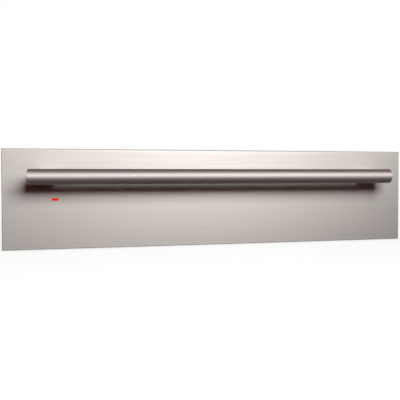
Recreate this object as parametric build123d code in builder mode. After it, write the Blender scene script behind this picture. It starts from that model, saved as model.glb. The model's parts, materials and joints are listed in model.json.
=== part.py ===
from build123d import *
import os
from math import cos, radians, sin, sqrt

# Built-in warming drawer, 14 cm high, for a 60 cm wide kitchen column.
#
# Millimetres. X runs to the right as seen from the front, Y into the cabinet and Z up.
# The origin lies on the niche floor, in the plane of the cabinet's front edges, on the middle.
# Left and right are those of a person standing in front of the drawer.

# ---------------------------------------------------------------- driving dimensions
# sheet metal housing
HOUSING_W = 556.0
HOUSING_H = 138.0
HOUSING_D = 535.0
HOUSING_SHEET = 1.0
TRAY_RIM = 12.0
SIDE_FLANGE = 14.0
BEAD_INSET = 40.0
BEAD_W = 26.0
BEAD_H = 2.5
BEAD_PITCH = 130.0
BEAD_COUNT = 3
VENT_L = 46.0
VENT_W = 4.0
VENT_PITCH_X = 62.0
VENT_PITCH_Y = 11.0
TOP_VENT_INSET = 60.0
BACK_VENT_X = 150.0

# front frame with the fixing holes, and its seal
FRAME_FLANGE = 17.0
FRAME_EDGE = 1.0
FRAME_SHEET = 1.2
FRAME_CORNER_R = 2.0
OPENING_INSET = 16.0
OPENING_TOP_DROP = 14.0
OPENING_CORNER_R = 3.0
FIXING_HOLE_D = 4.5
FIXING_EDGE = 6.0
FIXING_SPAN_Z = 100.0
SEAL_W = 7.0
SEAL_T = 3.5
SEAL_INSET = 2.0
SEAL_BEAD_R = 1.5
SEAL_CORNER_R = 4.0
SEAL_GAP = 0.3

# drawer front: a folded fascia, closed at the back by an inner sheet
FRONT_W = 595.0
FRONT_H = 140.0
FRONT_T = 18.0
FRONT_LOW_Z = 2.0
FRONT_SHEET = 1.2
FRONT_EDGE_R = 1.5
CARRIER_SHEET = 1.0
CARRIER_RIM = 9.0
FRONT_SCREW_HEIGHTS = (30.0, 92.0)
PAD_HOLE_D = 16.0

# bar handle
BAR_D = 20.5
BAR_L = 508.0
BAR_WALL = 2.5
BAR_HEIGHT = 101.7
BAR_STANDOFF = 45.0
CAP_RIM = 3.0
CAP_EDGE_R = 1.2
CAP_PLUG_L = 8.0
POST_W = 30.0
POST_H = 17.0
POST_CORNER_R = 4.0
POST_INSET = 1.0
POST_FOOT_R = 0.8
HANDLE_SCREW_D = 5.0
HANDLE_HEAD_D = 9.5
HANDLE_HEAD_H = 3.2
HANDLE_SCREW_REACH = 4.0

# pilot lamp
LAMP_W = 8.8
LAMP_H = 3.4
LAMP_FROM_LEFT = 69.6
LAMP_HEIGHT = 69.5
LAMP_PROUD = 0.3
LAMP_FLANGE = 1.6
LAMP_FLANGE_T = 1.0
LAMP_BACK_GAP = 1.8
LAMP_HOLDER_WALL = 1.0
LAMP_TAB_L = 3.0
LAMP_TAB_W = 2.8
LAMP_TAB_T = 0.8

# drawer box
DRAWER_LOW_Z = 14.0
DRAWER_SIDE_H = 98.0
REAR_SPACE = 80.0
DRAWER_SHEET = 1.0
DRAWER_BEND_R = 1.0
DRAWER_FOOT_FLANGE = 10.0
DRAWER_HEM = 5.0
DRAWER_FRONT_FLANGE = 12.0
DRAWER_BACK_H = 75.0
DRAWER_BACK_HEM = 6.0
AIR_SLOT_L = 60.0
AIR_SLOT_W = 5.0
AIR_SLOT_PITCH_X = 80.0
AIR_SLOT_PITCH_Z = 11.0
FLOOR_SHEET = 0.8
FLOOR_RIM = 8.0
FLOOR_CHAMFER = 0.5
FOIL_T = 0.8
GLASS_T = 4.0
GLASS_CORNER_R = 4.0
GLASS_CHAMFER = 0.5
GLASS_MARGIN = 1.0
MAT_T = 1.6
MAT_MARGIN = 12.0
MAT_CORNER_R = 8.0

# control strip inside the front, out of sight while the drawer is shut
CONTROL_H = 90.0
CONTROL_D = 40.0
CONTROL_SHEET = 1.0
CONTROL_BEND_R = 2.0
STRIP_T = 0.8
KNOB_X = 190.0
KNOB_D = 30.0
KNOB_H = 12.0
KNOB_EDGE_R = 1.5
KNOB_GRIP_W = 7.0
KNOB_GRIP_CUT = 6.0
KNOB_LIFT = 0.8
KNOB_BORE = 9.0
POINTER_W = 1.4
POINTER_DEPTH = 0.6
SHAFT_D = 6.0
SHAFT_DEPTH = 14.0
BUSH_WALL = 1.4
BUSH_PROUD = 0.2
THERMOSTAT_W = 36.0
THERMOSTAT_D = 30.0
THERMOSTAT_H = 22.0
THERMOSTAT_CORNER_R = 3.0
SWITCH_X = -190.0
SWITCH_LIP = 1.2
SWITCH_FRAME_T = 1.5
SWITCH_CORNER_R = 2.0
SWITCH_OPENING_W = 19.4
SWITCH_OPENING_D = 10.6
SWITCH_BODY_H = 18.0
SWITCH_WELL = 10.0
SWITCH_WALL = 1.6
ROCKER_TILT = 8.0
ROCKER_PIVOT_DROP = 4.0
ROCKER_PIN_D = 2.0
ROCKER_PIN_REACH = 1.2
ROCKER_GAP = 0.3
ROCKER_END_GAP = 1.1
ROCKER_TOP = 5.0
ROCKER_DIP = 1.8
ROCKER_FOOT = 3.0
ROCKER_DRAW_IN = 1.2

# full extension ball bearing runners
RUNNER_START = 8.0
RUNNER_PAST_DRAWER = 3.0
RUNNER_H = 45.0
RUNNER_T = 12.7
RUNNER_SHEET = 1.0
RUNNER_BEND_R = 1.6
RUNNER_Z = 62.0
BALL_D = 3.175
BALL_CLEARANCE = 0.05
WEB_GAP = 1.1
RUNNER_SIDE_GAP = 0.2
RACE_ANGLE = 40.0
RACE_LIP_ANGLE = 20.0
DIP_ANGLE = 110.0
DRAWER_RACE_ANGLE = 48.0
CAGE_SHEET = 0.4
CAGE_RISE = 1.07
CAGE_MARGIN = 15.0
CAGE_LIP = 0.3
CAGE_BEND_R = 0.6
BALLS_IN_A_ROW = 3
BALL_INSET = 25.0
BRACKET_SHEET = 1.5
BRACKET_WEB_H = 50.0
BRACKET_FLANGE = 12.0
BRACKET_START = 6.0
RIVET_D = 4.0
RIVET_HEAD_D = 7.0
RIVET_HEAD_H = 1.2
RIVETS = 3

# fan heater behind the drawer
GRILLE_GAP = 5.0
GRILLE_SHEET = 1.0
GRILLE_FLANGE = 9.0
GRILLE_BEND_R = 1.2
INTAKE_R = 42.0
INTAKE_ROWS = 7
INTAKE_SLOT_W = 5.0
INTAKE_PITCH = 11.0
OUTLET_X = 150.0
OUTLET_SLOTS = 10
OUTLET_SLOT_L = 70.0
OUTLET_SLOT_W = 4.0
OUTLET_PITCH = 11.0
FAN_Z = 69.0
FAN_GAP = 6.0
FAN_D = 88.0
FAN_HUB_D = 16.0
FAN_EYE_D = 54.0
FAN_BLADE_H = 15.0
FAN_BLADE_T = 1.0
FAN_BLADES = 16
FAN_SWEEP = 24.0
FAN_BLADE_BOW = 2.6
FAN_TIP_MARGIN = 0.6
FAN_HUB_L = 10.0
FAN_RING_SETBACK = 6.0
FAN_DISC_T = 1.2
FAN_SHAFT_D = 5.0
FAN_PLATE_GAP = 6.0
FAN_PLATE_W = 180.0
HEATER_TUBE_D = 6.5
HEATER_GAP = 4.75
HEATER_TERMINAL_ANGLE = 14.0
HEATER_BEND_R = 8.0
HEATER_TAIL = 7.0
MOTOR_BRACKET_T = 7.0
MOTOR_STACK_W = 58.0
MOTOR_STACK_H = 46.0
MOTOR_STACK_T = 16.0
MOTOR_COIL_T = 26.0
MOTOR_COIL_H = 14.0
MOTOR_COIL_W = 34.0
MOTOR_BRACKET_W = 30.0
MOTOR_CORNER_R = 3.0
MOTOR_BOSS_PROUD = 3.0
MOTOR_BOSS_D = 14.0
CUTOUT_D = 16.0
CUTOUT_H = 8.0
CUTOUT_X = 68.0
CUTOUT_TAB_L = 5.0
CUTOUT_TAB_W = 5.0

# mains connection
TERMINAL_X = 190.0
TERMINAL_Z = 78.0
TERMINAL_W = 44.0
TERMINAL_H = 24.0
TERMINAL_D = 18.0
TERMINAL_CORNER_R = 2.0
TERMINAL_POLES = 3
TERMINAL_HOLE_D = 5.0
TERMINAL_HOLE_DEPTH = 8.0
GLAND_X = 190.0
GLAND_Z = 34.0
GLAND_BORE_D = 8.4
GLAND_BARREL_D = 15.0
GLAND_FLANGE_D = 22.0
GLAND_FLANGE_T = 2.5
GLAND_NOSE_L = 9.0
GLAND_NOSE_D = 12.0
GLAND_NUT_D = 21.0
GLAND_NUT_T = 4.0

# small fasteners
SCREW_D = 4.0
SCREW_HEAD_D = 7.5
SCREW_HEAD_H = 2.0
SCREW_L = 6.0
HEAD_TAPER = 15.0
BACK_SCREW_SPAN_Z = 80.0

# clearances
FIT = 0.1
RUNNING_FIT = 0.05
SOFT_GAP = 0.3

# ---------------------------------------------------------------- places that follow
inner_half_w = HOUSING_W / 2 - HOUSING_SHEET
frame_w = HOUSING_W + 2 * FRAME_FLANGE
fixing_span_x = frame_w - 2 * FIXING_EDGE
opening_w = HOUSING_W - 2 * OPENING_INSET
back_y = HOUSING_D - HOUSING_SHEET
frame_h = HOUSING_H - 2 * FRAME_EDGE
opening_low_z = TRAY_RIM
opening_top_z = HOUSING_H - OPENING_TOP_DROP
opening_h = opening_top_z - opening_low_z
opening_mid_z = (opening_top_z + opening_low_z) / 2
seal_inner_w = opening_w + 2 * SEAL_INSET
seal_inner_h = opening_h + 2 * SEAL_INSET
seal_face_y = -FRAME_SHEET - SEAL_T

front_back_y = seal_face_y - SEAL_GAP
front_face_y = front_back_y - FRONT_T
front_mid_z = FRONT_LOW_Z + FRONT_H / 2
fascia_inside_y = front_face_y + FRONT_SHEET
carrier_inside_y = front_back_y - CARRIER_SHEET
front_inner_w = FRONT_W - 2 * FRONT_SHEET
front_inner_h = FRONT_H - 2 * FRONT_SHEET

bar_y = front_face_y - BAR_STANDOFF
bar_z = FRONT_LOW_Z + BAR_HEIGHT
post_x = BAR_L / 2 - POST_INSET - POST_W / 2
lamp_x = -FRONT_W / 2 + LAMP_FROM_LEFT
lamp_z = FRONT_LOW_Z + LAMP_HEIGHT
lamp_flange_y = fascia_inside_y + LAMP_FLANGE_T
lamp_holder_d = carrier_inside_y - LAMP_BACK_GAP - LAMP_TAB_L - lamp_flange_y

runner_outside_x = opening_w / 2
drawer_outside_x = runner_outside_x - RUNNER_T
drawer_inside_x = drawer_outside_x - DRAWER_SHEET
drawer_back_y = HOUSING_D - REAR_SPACE
drawer_d = drawer_back_y - front_back_y
runner_l = drawer_back_y + RUNNER_PAST_DRAWER - RUNNER_START
bead_l = drawer_back_y - 2 * BEAD_INSET
drawer_top_z = DRAWER_LOW_Z + DRAWER_SIDE_H
floor_z = DRAWER_LOW_Z + DRAWER_SHEET
floor_half_w = drawer_inside_x - FIT
floor_front_y = front_back_y + DRAWER_SHEET + FIT
floor_back_y = drawer_back_y - DRAWER_SHEET - FIT
pad_z = floor_z + FLOOR_SHEET
rim_z = floor_z + FLOOR_RIM
foil_z = rim_z
glass_z = foil_z + FOIL_T
mat_z = glass_z + GLASS_T

control_top_z = floor_z + CONTROL_H
control_back_y = floor_front_y + CONTROL_D
control_mid_y = floor_front_y + CONTROL_D / 2
control_half_w = floor_half_w - FLOOR_SHEET - FIT
strip_top_z = control_top_z + STRIP_T
knob_z = strip_top_z + KNOB_LIFT
shaft_low_z = control_top_z - CONTROL_SHEET - SHAFT_DEPTH + FIT
switch_top_z = strip_top_z + SWITCH_FRAME_T
pivot_z = switch_top_z - ROCKER_PIVOT_DROP
cavity_front_y = control_back_y + SOFT_GAP
cavity_mid_y = (cavity_front_y + floor_back_y - FLOOR_SHEET) / 2
cavity_d = floor_back_y - FLOOR_SHEET - SOFT_GAP - cavity_front_y

grille_y = drawer_back_y + DRAWER_BACK_HEM + GRILLE_GAP
fan_front_y = grille_y + GRILLE_SHEET + FAN_GAP
fan_disc_y = fan_front_y + FAN_BLADE_H
fan_plate_y = fan_disc_y + FAN_DISC_T + FAN_PLATE_GAP
motor_y = fan_plate_y + GRILLE_SHEET
stack_y = motor_y + MOTOR_BRACKET_T
motor_back_y = stack_y + MOTOR_STACK_T + MOTOR_BRACKET_T / 2
heater_y = fan_front_y + FAN_BLADE_H / 2
heater_ring_r = FAN_D / 2 + HEATER_GAP + HEATER_TUBE_D / 2

tube_half = BAR_L / 2 - CAP_RIM
holder_w = LAMP_W + 2 * (LAMP_FLANGE + LAMP_HOLDER_WALL)
holder_h = LAMP_H + 2 * (LAMP_FLANGE + LAMP_HOLDER_WALL)
wool_margin = FIT + CARRIER_SHEET + SOFT_GAP
bush_r = SHAFT_D / 2 + RUNNING_FIT + BUSH_WALL
switch_body_w = SWITCH_OPENING_W + 2 * SWITCH_WALL
switch_body_d = SWITCH_OPENING_D + 2 * SWITCH_WALL
pin_half_l = SWITCH_OPENING_D / 2 + ROCKER_PIN_REACH
rocker_half_w = SWITCH_OPENING_W / 2 - ROCKER_END_GAP
rocker_foot_half_w = rocker_half_w - ROCKER_DRAW_IN

# runner section, in its own frame: first the distance from the bracket, then the height
race_r = BALL_D / 2 + BALL_CLEARANCE + RUNNER_SHEET / 2
middle_web = RUNNER_SHEET + WEB_GAP + RUNNER_SHEET / 2
outer_ball_h = RUNNER_H / 2 - RUNNER_SHEET / 2 - race_r
outer_ball = (RUNNER_T - RUNNER_SIDE_GAP - RUNNER_SHEET / 2 - race_r, outer_ball_h)
inner_ball = (
    outer_ball[0] - 2 * race_r * cos(radians(RACE_ANGLE)),
    outer_ball[1] - 2 * race_r * sin(radians(RACE_ANGLE)),
)
runner_section = Plane(
    origin=(-runner_outside_x, RUNNER_START + runner_l, RUNNER_Z), x_dir=(1, 0, 0), z_dir=(0, -1, 0)
)
cage_l = runner_l / 2 - CAGE_MARGIN
ball_pitch = (cage_l - 2 * BALL_INSET) / (BALLS_IN_A_ROW - 1)
runner_mid_y = RUNNER_START + runner_l / 2
rivet_places = [
    (runner_mid_y + (i - (RIVETS - 1) / 2) * runner_l / RIVETS, RUNNER_Z) for i in range(RIVETS)
]

blade_tip_r = FAN_D / 2 - FAN_TIP_MARGIN
grille_half_w = inner_half_w - HOUSING_SHEET
heater_angle = radians(-90 + HEATER_TERMINAL_ANGLE)
heater_end_x = heater_ring_r * cos(heater_angle) + HEATER_BEND_R * sin(heater_angle)
heater_end_z = FAN_Z + heater_ring_r * sin(heater_angle) - HEATER_BEND_R * cos(heater_angle)
heater_ends = [(heater_end_x, heater_end_z), (-heater_end_x, heater_end_z)]


# ---------------------------------------------------------------- planes and helpers
def level(z):
    """Plane at height z, facing up."""
    return Plane.XY.offset(z)


def facing_front(y):
    """Plane at depth y that faces the front: its own x is X, its own y is Z, an extrusion runs to -Y."""
    return Plane.XZ.offset(-y)


def facing_right(x):
    """Plane at x that faces +X: its own x is Y and its own y is Z."""
    return Plane.YZ.offset(x)


def save(piece, label):
    """Name a finished piece and write its STEP file."""
    piece.part.label = label
    export_step(piece.part, f"parts/{label}.step")


def mirrored(piece):
    """The right-hand twin of a left-hand piece."""
    with BuildPart() as twin:
        mirror(piece.part, about=Plane.YZ)
    return twin


def save_pair(piece, label):
    """Write a left-hand piece and its right-hand twin."""
    save(piece, f"{label}_left")
    save(mirrored(piece), f"{label}_right")


def fasteners(plane, places, shank_d, shank_l, head_d, head_h):
    """Screws or rivets in one node: shanks along the plane's normal, rounded heads behind it."""
    with BuildPart() as group:
        with BuildSketch(plane):
            with Locations(*places):
                Circle(shank_d / 2)
        extrude(amount=shank_l)
        with BuildSketch(plane):
            with Locations(*places):
                Circle(head_d / 2)
        extrude(amount=-head_h, taper=HEAD_TAPER)
    return group


os.makedirs("parts", exist_ok=True)

# ---------------------------------------------------------------- housing
# base: an open tray with raised beads that stiffen its floor
with BuildPart() as housing_base:
    with BuildSketch(level(0)):
        with Locations((0, back_y / 2)):
            Rectangle(2 * inner_half_w, back_y)
    extrude(amount=TRAY_RIM)
    offset(amount=-HOUSING_SHEET, openings=housing_base.faces().sort_by(Axis.Z)[-1])
    with BuildSketch(level(HOUSING_SHEET)):
        with Locations((0, drawer_back_y / 2)):
            with GridLocations(BEAD_PITCH, 0, BEAD_COUNT, 1):
                SlotOverall(bead_l, BEAD_W, rotation=90)
    extrude(amount=BEAD_H)
    with BuildSketch(level(0)):
        with Locations((0, drawer_back_y / 2)):
            with GridLocations(BEAD_PITCH, 0, BEAD_COUNT, 1):
                SlotOverall(bead_l - 2 * HOUSING_SHEET, BEAD_W - 2 * HOUSING_SHEET, rotation=90)
    extrude(amount=BEAD_H, mode=Mode.SUBTRACT)
save(housing_base, "housing_base")

# top: the same tray turned over, with two rows of vents above the motor
with BuildPart() as housing_top:
    with BuildSketch(level(HOUSING_H - TRAY_RIM)):
        with Locations((0, back_y / 2)):
            Rectangle(2 * inner_half_w, back_y)
    extrude(amount=TRAY_RIM)
    offset(amount=-HOUSING_SHEET, openings=housing_top.faces().sort_by(Axis.Z)[0])
    with BuildSketch(level(HOUSING_H)):
        with Locations((0, back_y - TOP_VENT_INSET)):
            with GridLocations(VENT_PITCH_X, VENT_PITCH_Y, 4, 2):
                SlotOverall(VENT_L, VENT_W)
    extrude(amount=-HOUSING_SHEET, mode=Mode.SUBTRACT)
save(housing_top, "housing_top")

# side wall, with a flange at the front for the frame and one at the back for the rear sheet
with BuildPart() as housing_side:
    with BuildSketch(facing_right(-HOUSING_W / 2)):
        Rectangle(back_y, HOUSING_H, align=(Align.MIN, Align.MIN))
    extrude(amount=HOUSING_SHEET)
    with BuildSketch(level(TRAY_RIM + FIT)):
        with Locations((-inner_half_w, 0), (-inner_half_w, back_y - HOUSING_SHEET)):
            Rectangle(SIDE_FLANGE, HOUSING_SHEET, align=(Align.MIN, Align.MIN))
    extrude(amount=HOUSING_H - 2 * (TRAY_RIM + FIT))
    for screw_z in (HOUSING_H / 2 - BACK_SCREW_SPAN_Z / 2, HOUSING_H / 2 + BACK_SCREW_SPAN_Z / 2):
        with BuildSketch(facing_front(back_y)):
            with Locations((-inner_half_w + SIDE_FLANGE / 2, screw_z)):
                Circle(SCREW_D / 2 + RUNNING_FIT)
        extrude(amount=HOUSING_SHEET, mode=Mode.SUBTRACT)
save_pair(housing_side, "housing_side")

# rear sheet, with vents behind the fan motor and the hole of the cable gland
with BuildPart() as housing_back:
    with BuildSketch(facing_front(HOUSING_D)):
        with Locations((0, HOUSING_H / 2)):
            Rectangle(HOUSING_W, HOUSING_H)
        with Locations((-BACK_VENT_X, FAN_Z), (0, FAN_Z)):
            with GridLocations(VENT_PITCH_X, VENT_PITCH_Y, 2, 5):
                SlotOverall(VENT_L, VENT_W, mode=Mode.SUBTRACT)
        with Locations((GLAND_X, GLAND_Z)):
            Circle(GLAND_BARREL_D / 2 + FIT, mode=Mode.SUBTRACT)
        with Locations((0, HOUSING_H / 2)):
            with GridLocations(2 * inner_half_w - SIDE_FLANGE, BACK_SCREW_SPAN_Z, 2, 2):
                Circle(SCREW_D / 2 + RUNNING_FIT, mode=Mode.SUBTRACT)
    extrude(amount=HOUSING_SHEET)
save(housing_back, "housing_back")

# front frame: it lies against the cabinet's front edges and carries the fixing holes
with BuildPart() as front_frame:
    with BuildSketch(facing_front(0)):
        with Locations((0, HOUSING_H / 2)):
            RectangleRounded(frame_w, frame_h, FRAME_CORNER_R)
        with Locations((0, opening_mid_z)):
            RectangleRounded(opening_w, opening_h, OPENING_CORNER_R, mode=Mode.SUBTRACT)
        with Locations((0, HOUSING_H / 2)):
            with GridLocations(fixing_span_x, FIXING_SPAN_Z, 2, 2):
                Circle(FIXING_HOLE_D / 2, mode=Mode.SUBTRACT)
    extrude(amount=FRAME_SHEET)
save(front_frame, "front_frame")

# seal: a silicone bead that the shut front presses on
with BuildPart() as door_seal:
    with BuildSketch(facing_front(-FRAME_SHEET)):
        with Locations((0, opening_mid_z)):
            RectangleRounded(seal_inner_w + 2 * SEAL_W, seal_inner_h + 2 * SEAL_W, SEAL_CORNER_R + SEAL_W)
            RectangleRounded(seal_inner_w, seal_inner_h, SEAL_CORNER_R, mode=Mode.SUBTRACT)
    extrude(amount=SEAL_T)
    fillet(door_seal.faces().sort_by(Axis.Y)[0].edges(), radius=SEAL_BEAD_R)
save(door_seal, "door_seal")

# ---------------------------------------------------------------- drawer front
# fascia: the brushed sheet with its edges folded back
with BuildPart() as front_panel:
    with BuildSketch(facing_front(front_back_y)):
        with Locations((0, front_mid_z)):
            Rectangle(FRONT_W, FRONT_H)
    extrude(amount=FRONT_T)
    fillet(front_panel.faces().sort_by(Axis.Y)[0].edges(), radius=FRONT_EDGE_R)
    offset(amount=-FRONT_SHEET, openings=front_panel.faces().sort_by(Axis.Y)[-1])
    with BuildSketch(facing_front(fascia_inside_y)):
        with Locations((-post_x, bar_z), (post_x, bar_z)):
            Circle(HANDLE_SCREW_D / 2 + RUNNING_FIT)
        with Locations((lamp_x, lamp_z)):
            Rectangle(LAMP_W + 2 * FIT, LAMP_H + 2 * FIT)
    extrude(amount=FRONT_SHEET, mode=Mode.SUBTRACT)
save(front_panel, "front_panel")

# inner sheet of the front, its rim inside the folded edges
front_screw_places = [
    (side * (drawer_inside_x - DRAWER_FRONT_FLANGE / 2), FRONT_LOW_Z + height)
    for side in (-1, 1)
    for height in FRONT_SCREW_HEIGHTS
]
with BuildPart() as front_carrier:
    with BuildSketch(facing_front(front_back_y)):
        with Locations((0, front_mid_z)):
            Rectangle(front_inner_w - 2 * FIT, front_inner_h - 2 * FIT)
    extrude(amount=CARRIER_RIM)
    offset(amount=-CARRIER_SHEET, openings=front_carrier.faces().sort_by(Axis.Y)[0])
    with BuildSketch(facing_front(front_back_y)):
        with Locations(*front_screw_places):
            Circle(SCREW_D / 2 + RUNNING_FIT)
    extrude(amount=CARRIER_SHEET, mode=Mode.SUBTRACT)
save(front_carrier, "front_carrier")

# mineral wool in the front, open round the lamp and the screws
with BuildPart() as front_insulation:
    with BuildSketch(facing_front(carrier_inside_y - SOFT_GAP)):
        with Locations((0, front_mid_z)):
            Rectangle(front_inner_w - 2 * wool_margin, front_inner_h - 2 * wool_margin)
        with Locations((-post_x, bar_z), (post_x, bar_z), *front_screw_places):
            Circle(PAD_HOLE_D / 2, mode=Mode.SUBTRACT)
        with Locations((lamp_x, lamp_z)):
            Rectangle(holder_w + 2 * SOFT_GAP, holder_h + 2 * SOFT_GAP, mode=Mode.SUBTRACT)
    extrude(amount=carrier_inside_y - fascia_inside_y - 2 * SOFT_GAP)
save(front_insulation, "front_insulation")

# ---------------------------------------------------------------- bar handle
with BuildPart() as handle_bar:
    with BuildSketch(facing_right(-tube_half)):
        with Locations((bar_y, bar_z)):
            Circle(BAR_D / 2)
            Circle(BAR_D / 2 - BAR_WALL, mode=Mode.SUBTRACT)
    extrude(amount=2 * tube_half)
    with BuildSketch(facing_front(bar_y + BAR_D / 2)):
        with Locations((-post_x, bar_z), (post_x, bar_z)):
            Circle(HANDLE_SCREW_D / 2 + RUNNING_FIT)
    extrude(amount=BAR_D / 2, mode=Mode.SUBTRACT)
save(handle_bar, "handle_bar")

# end cap: a rim as wide as the bar and a plug inside it
with BuildPart() as bar_cap:
    with BuildSketch(facing_right(-BAR_L / 2)):
        with Locations((bar_y, bar_z)):
            Circle(BAR_D / 2)
    extrude(amount=CAP_RIM)
    fillet(bar_cap.edges().sort_by(Axis.X)[0], radius=CAP_EDGE_R)
    with BuildSketch(facing_right(-tube_half)):
        with Locations((bar_y, bar_z)):
            Circle(BAR_D / 2 - BAR_WALL - RUNNING_FIT)
    extrude(amount=CAP_PLUG_L)
save_pair(bar_cap, "handle_cap")

# post: it stands on the fascia and its saddle takes the bar
with BuildPart() as handle_post:
    with BuildSketch(facing_front(front_face_y)):
        with Locations((-post_x, bar_z)):
            RectangleRounded(POST_W, POST_H, POST_CORNER_R)
    extrude(amount=BAR_STANDOFF)
    fillet(handle_post.faces().sort_by(Axis.Y)[-1].edges(), radius=POST_FOOT_R)
    with BuildSketch(facing_right(-post_x - POST_W / 2)):
        with Locations((bar_y, bar_z)):
            Circle(BAR_D / 2 + RUNNING_FIT)
    extrude(amount=POST_W, mode=Mode.SUBTRACT)
    with BuildSketch(facing_front(front_face_y)):
        with Locations((-post_x, bar_z)):
            Circle(HANDLE_SCREW_D / 2 + RUNNING_FIT)
    extrude(amount=BAR_STANDOFF, mode=Mode.SUBTRACT)
save_pair(handle_post, "handle_post")

handle_screws = fasteners(
    facing_front(fascia_inside_y),
    [(-post_x, bar_z), (post_x, bar_z)],
    HANDLE_SCREW_D,
    fascia_inside_y - (bar_y + BAR_D / 2 - BAR_WALL) + HANDLE_SCREW_REACH,
    HANDLE_HEAD_D,
    HANDLE_HEAD_H,
)
save(handle_screws, "handle_screws")

# ---------------------------------------------------------------- pilot lamp
# lens: it fills the window in the fascia and is held by its flange
with BuildPart() as lamp_lens:
    with BuildSketch(facing_front(lamp_flange_y)):
        with Locations((lamp_x, lamp_z)):
            Rectangle(LAMP_W + 2 * LAMP_FLANGE, LAMP_H + 2 * LAMP_FLANGE)
    extrude(amount=LAMP_FLANGE_T)
    with BuildSketch(facing_front(lamp_flange_y)):
        with Locations((lamp_x, lamp_z)):
            Rectangle(LAMP_W, LAMP_H)
    extrude(amount=LAMP_FLANGE_T + FRONT_SHEET + LAMP_PROUD)
save(lamp_lens, "pilot_lamp_lens")

# holder with the lamp inside and two terminal tabs
with BuildPart() as lamp_holder:
    with BuildSketch(facing_front(lamp_flange_y + lamp_holder_d)):
        with Locations((lamp_x, lamp_z)):
            Rectangle(holder_w, holder_h)
    extrude(amount=lamp_holder_d)
    with BuildSketch(facing_front(lamp_flange_y + lamp_holder_d + LAMP_TAB_L)):
        with Locations((lamp_x, lamp_z)):
            with GridLocations(holder_w / 2, 0, 2, 1):
                Rectangle(LAMP_TAB_T, LAMP_TAB_W)
    extrude(amount=LAMP_TAB_L)
save(lamp_holder, "pilot_lamp_holder")

# ---------------------------------------------------------------- drawer box
# side: a folded sheet with a foot flange inwards, a hem outwards and a flange at the front
with BuildPart() as drawer_side:
    with BuildSketch(facing_front(drawer_back_y)):
        with BuildLine():
            FilletPolyline(
                (-drawer_inside_x + DRAWER_FOOT_FLANGE, DRAWER_LOW_Z + DRAWER_SHEET / 2),
                (-drawer_outside_x + DRAWER_SHEET / 2, DRAWER_LOW_Z + DRAWER_SHEET / 2),
                (-drawer_outside_x + DRAWER_SHEET / 2, drawer_top_z - DRAWER_SHEET / 2),
                (-drawer_outside_x - DRAWER_HEM, drawer_top_z - DRAWER_SHEET / 2),
                radius=DRAWER_BEND_R,
            )
        trace(line_width=DRAWER_SHEET)
    extrude(amount=drawer_d)
    with BuildSketch(facing_front(front_back_y + DRAWER_SHEET)):
        with Locations((-drawer_inside_x, floor_z)):
            Rectangle(DRAWER_FRONT_FLANGE, DRAWER_SIDE_H - 2 * DRAWER_SHEET, align=(Align.MIN, Align.MIN))
    extrude(amount=DRAWER_SHEET)
    with BuildSketch(facing_front(front_back_y + DRAWER_SHEET)):
        with Locations(*[place for place in front_screw_places if place[0] < 0]):
            Circle(SCREW_D / 2 + RUNNING_FIT)
    extrude(amount=DRAWER_SHEET, mode=Mode.SUBTRACT)
    with BuildSketch(facing_right(-drawer_outside_x)):
        with Locations(*rivet_places):
            Circle(RIVET_D / 2 + RUNNING_FIT)
    extrude(amount=DRAWER_SHEET, mode=Mode.SUBTRACT)
save_pair(drawer_side, "drawer_side")

# back: low enough for the warm air to pass over it, with slots for it to pass through
with BuildPart() as drawer_back:
    with BuildSketch(facing_right(-floor_half_w)):
        with BuildLine():
            FilletPolyline(
                (drawer_back_y - DRAWER_SHEET / 2, floor_z + DRAWER_BEND_R),
                (drawer_back_y - DRAWER_SHEET / 2, floor_z + DRAWER_BACK_H),
                (drawer_back_y + DRAWER_BACK_HEM, floor_z + DRAWER_BACK_H),
                radius=DRAWER_BEND_R,
            )
        trace(line_width=DRAWER_SHEET)
    extrude(amount=2 * floor_half_w)
    with BuildSketch(facing_front(drawer_back_y)):
        with Locations((0, (mat_z + floor_z + DRAWER_BACK_H) / 2)):
            with GridLocations(AIR_SLOT_PITCH_X, AIR_SLOT_PITCH_Z, 5, 3):
                SlotOverall(AIR_SLOT_L, AIR_SLOT_W)
    extrude(amount=DRAWER_SHEET, mode=Mode.SUBTRACT)
save(drawer_back, "drawer_back")

# floor: a shallow tray that stands on the foot flanges
with BuildPart() as drawer_floor:
    with BuildSketch(level(floor_z)):
        with Locations((0, (floor_front_y + floor_back_y) / 2)):
            Rectangle(2 * floor_half_w, floor_back_y - floor_front_y)
    extrude(amount=FLOOR_RIM)
    offset(amount=-FLOOR_SHEET, openings=drawer_floor.faces().sort_by(Axis.Z)[-1])
    chamfer(drawer_floor.faces().sort_by(Axis.Z)[0].edges(), length=FLOOR_CHAMFER)
save(drawer_floor, "drawer_floor")

with BuildPart() as insulation_pad:
    with BuildSketch(level(pad_z)):
        with Locations((0, cavity_mid_y)):
            Rectangle(2 * (floor_half_w - FLOOR_SHEET - SOFT_GAP), cavity_d)
    extrude(amount=FLOOR_RIM - FLOOR_SHEET)
save(insulation_pad, "insulation_pad")

# foil heater between the wool and the glass
with BuildPart() as heating_foil:
    with BuildSketch(level(foil_z)):
        with Locations((0, cavity_mid_y)):
            Rectangle(2 * (floor_half_w - GLASS_MARGIN), cavity_d)
    extrude(amount=FOIL_T)
save(heating_foil, "heating_foil")

with BuildPart() as glass_plate:
    with BuildSketch(level(glass_z)):
        with Locations((0, cavity_mid_y)):
            RectangleRounded(2 * (floor_half_w - GLASS_MARGIN), cavity_d, GLASS_CORNER_R)
    extrude(amount=GLASS_T)
    chamfer(glass_plate.faces().sort_by(Axis.Z)[-1].edges(), length=GLASS_CHAMFER)
save(glass_plate, "glass_plate")

with BuildPart() as anti_slip_mat:
    with BuildSketch(level(mat_z)):
        with Locations((0, cavity_mid_y)):
            RectangleRounded(
                2 * (floor_half_w - GLASS_MARGIN - MAT_MARGIN), cavity_d - 2 * MAT_MARGIN, MAT_CORNER_R
            )
    extrude(amount=MAT_T)
save(anti_slip_mat, "anti_slip_mat")

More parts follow.
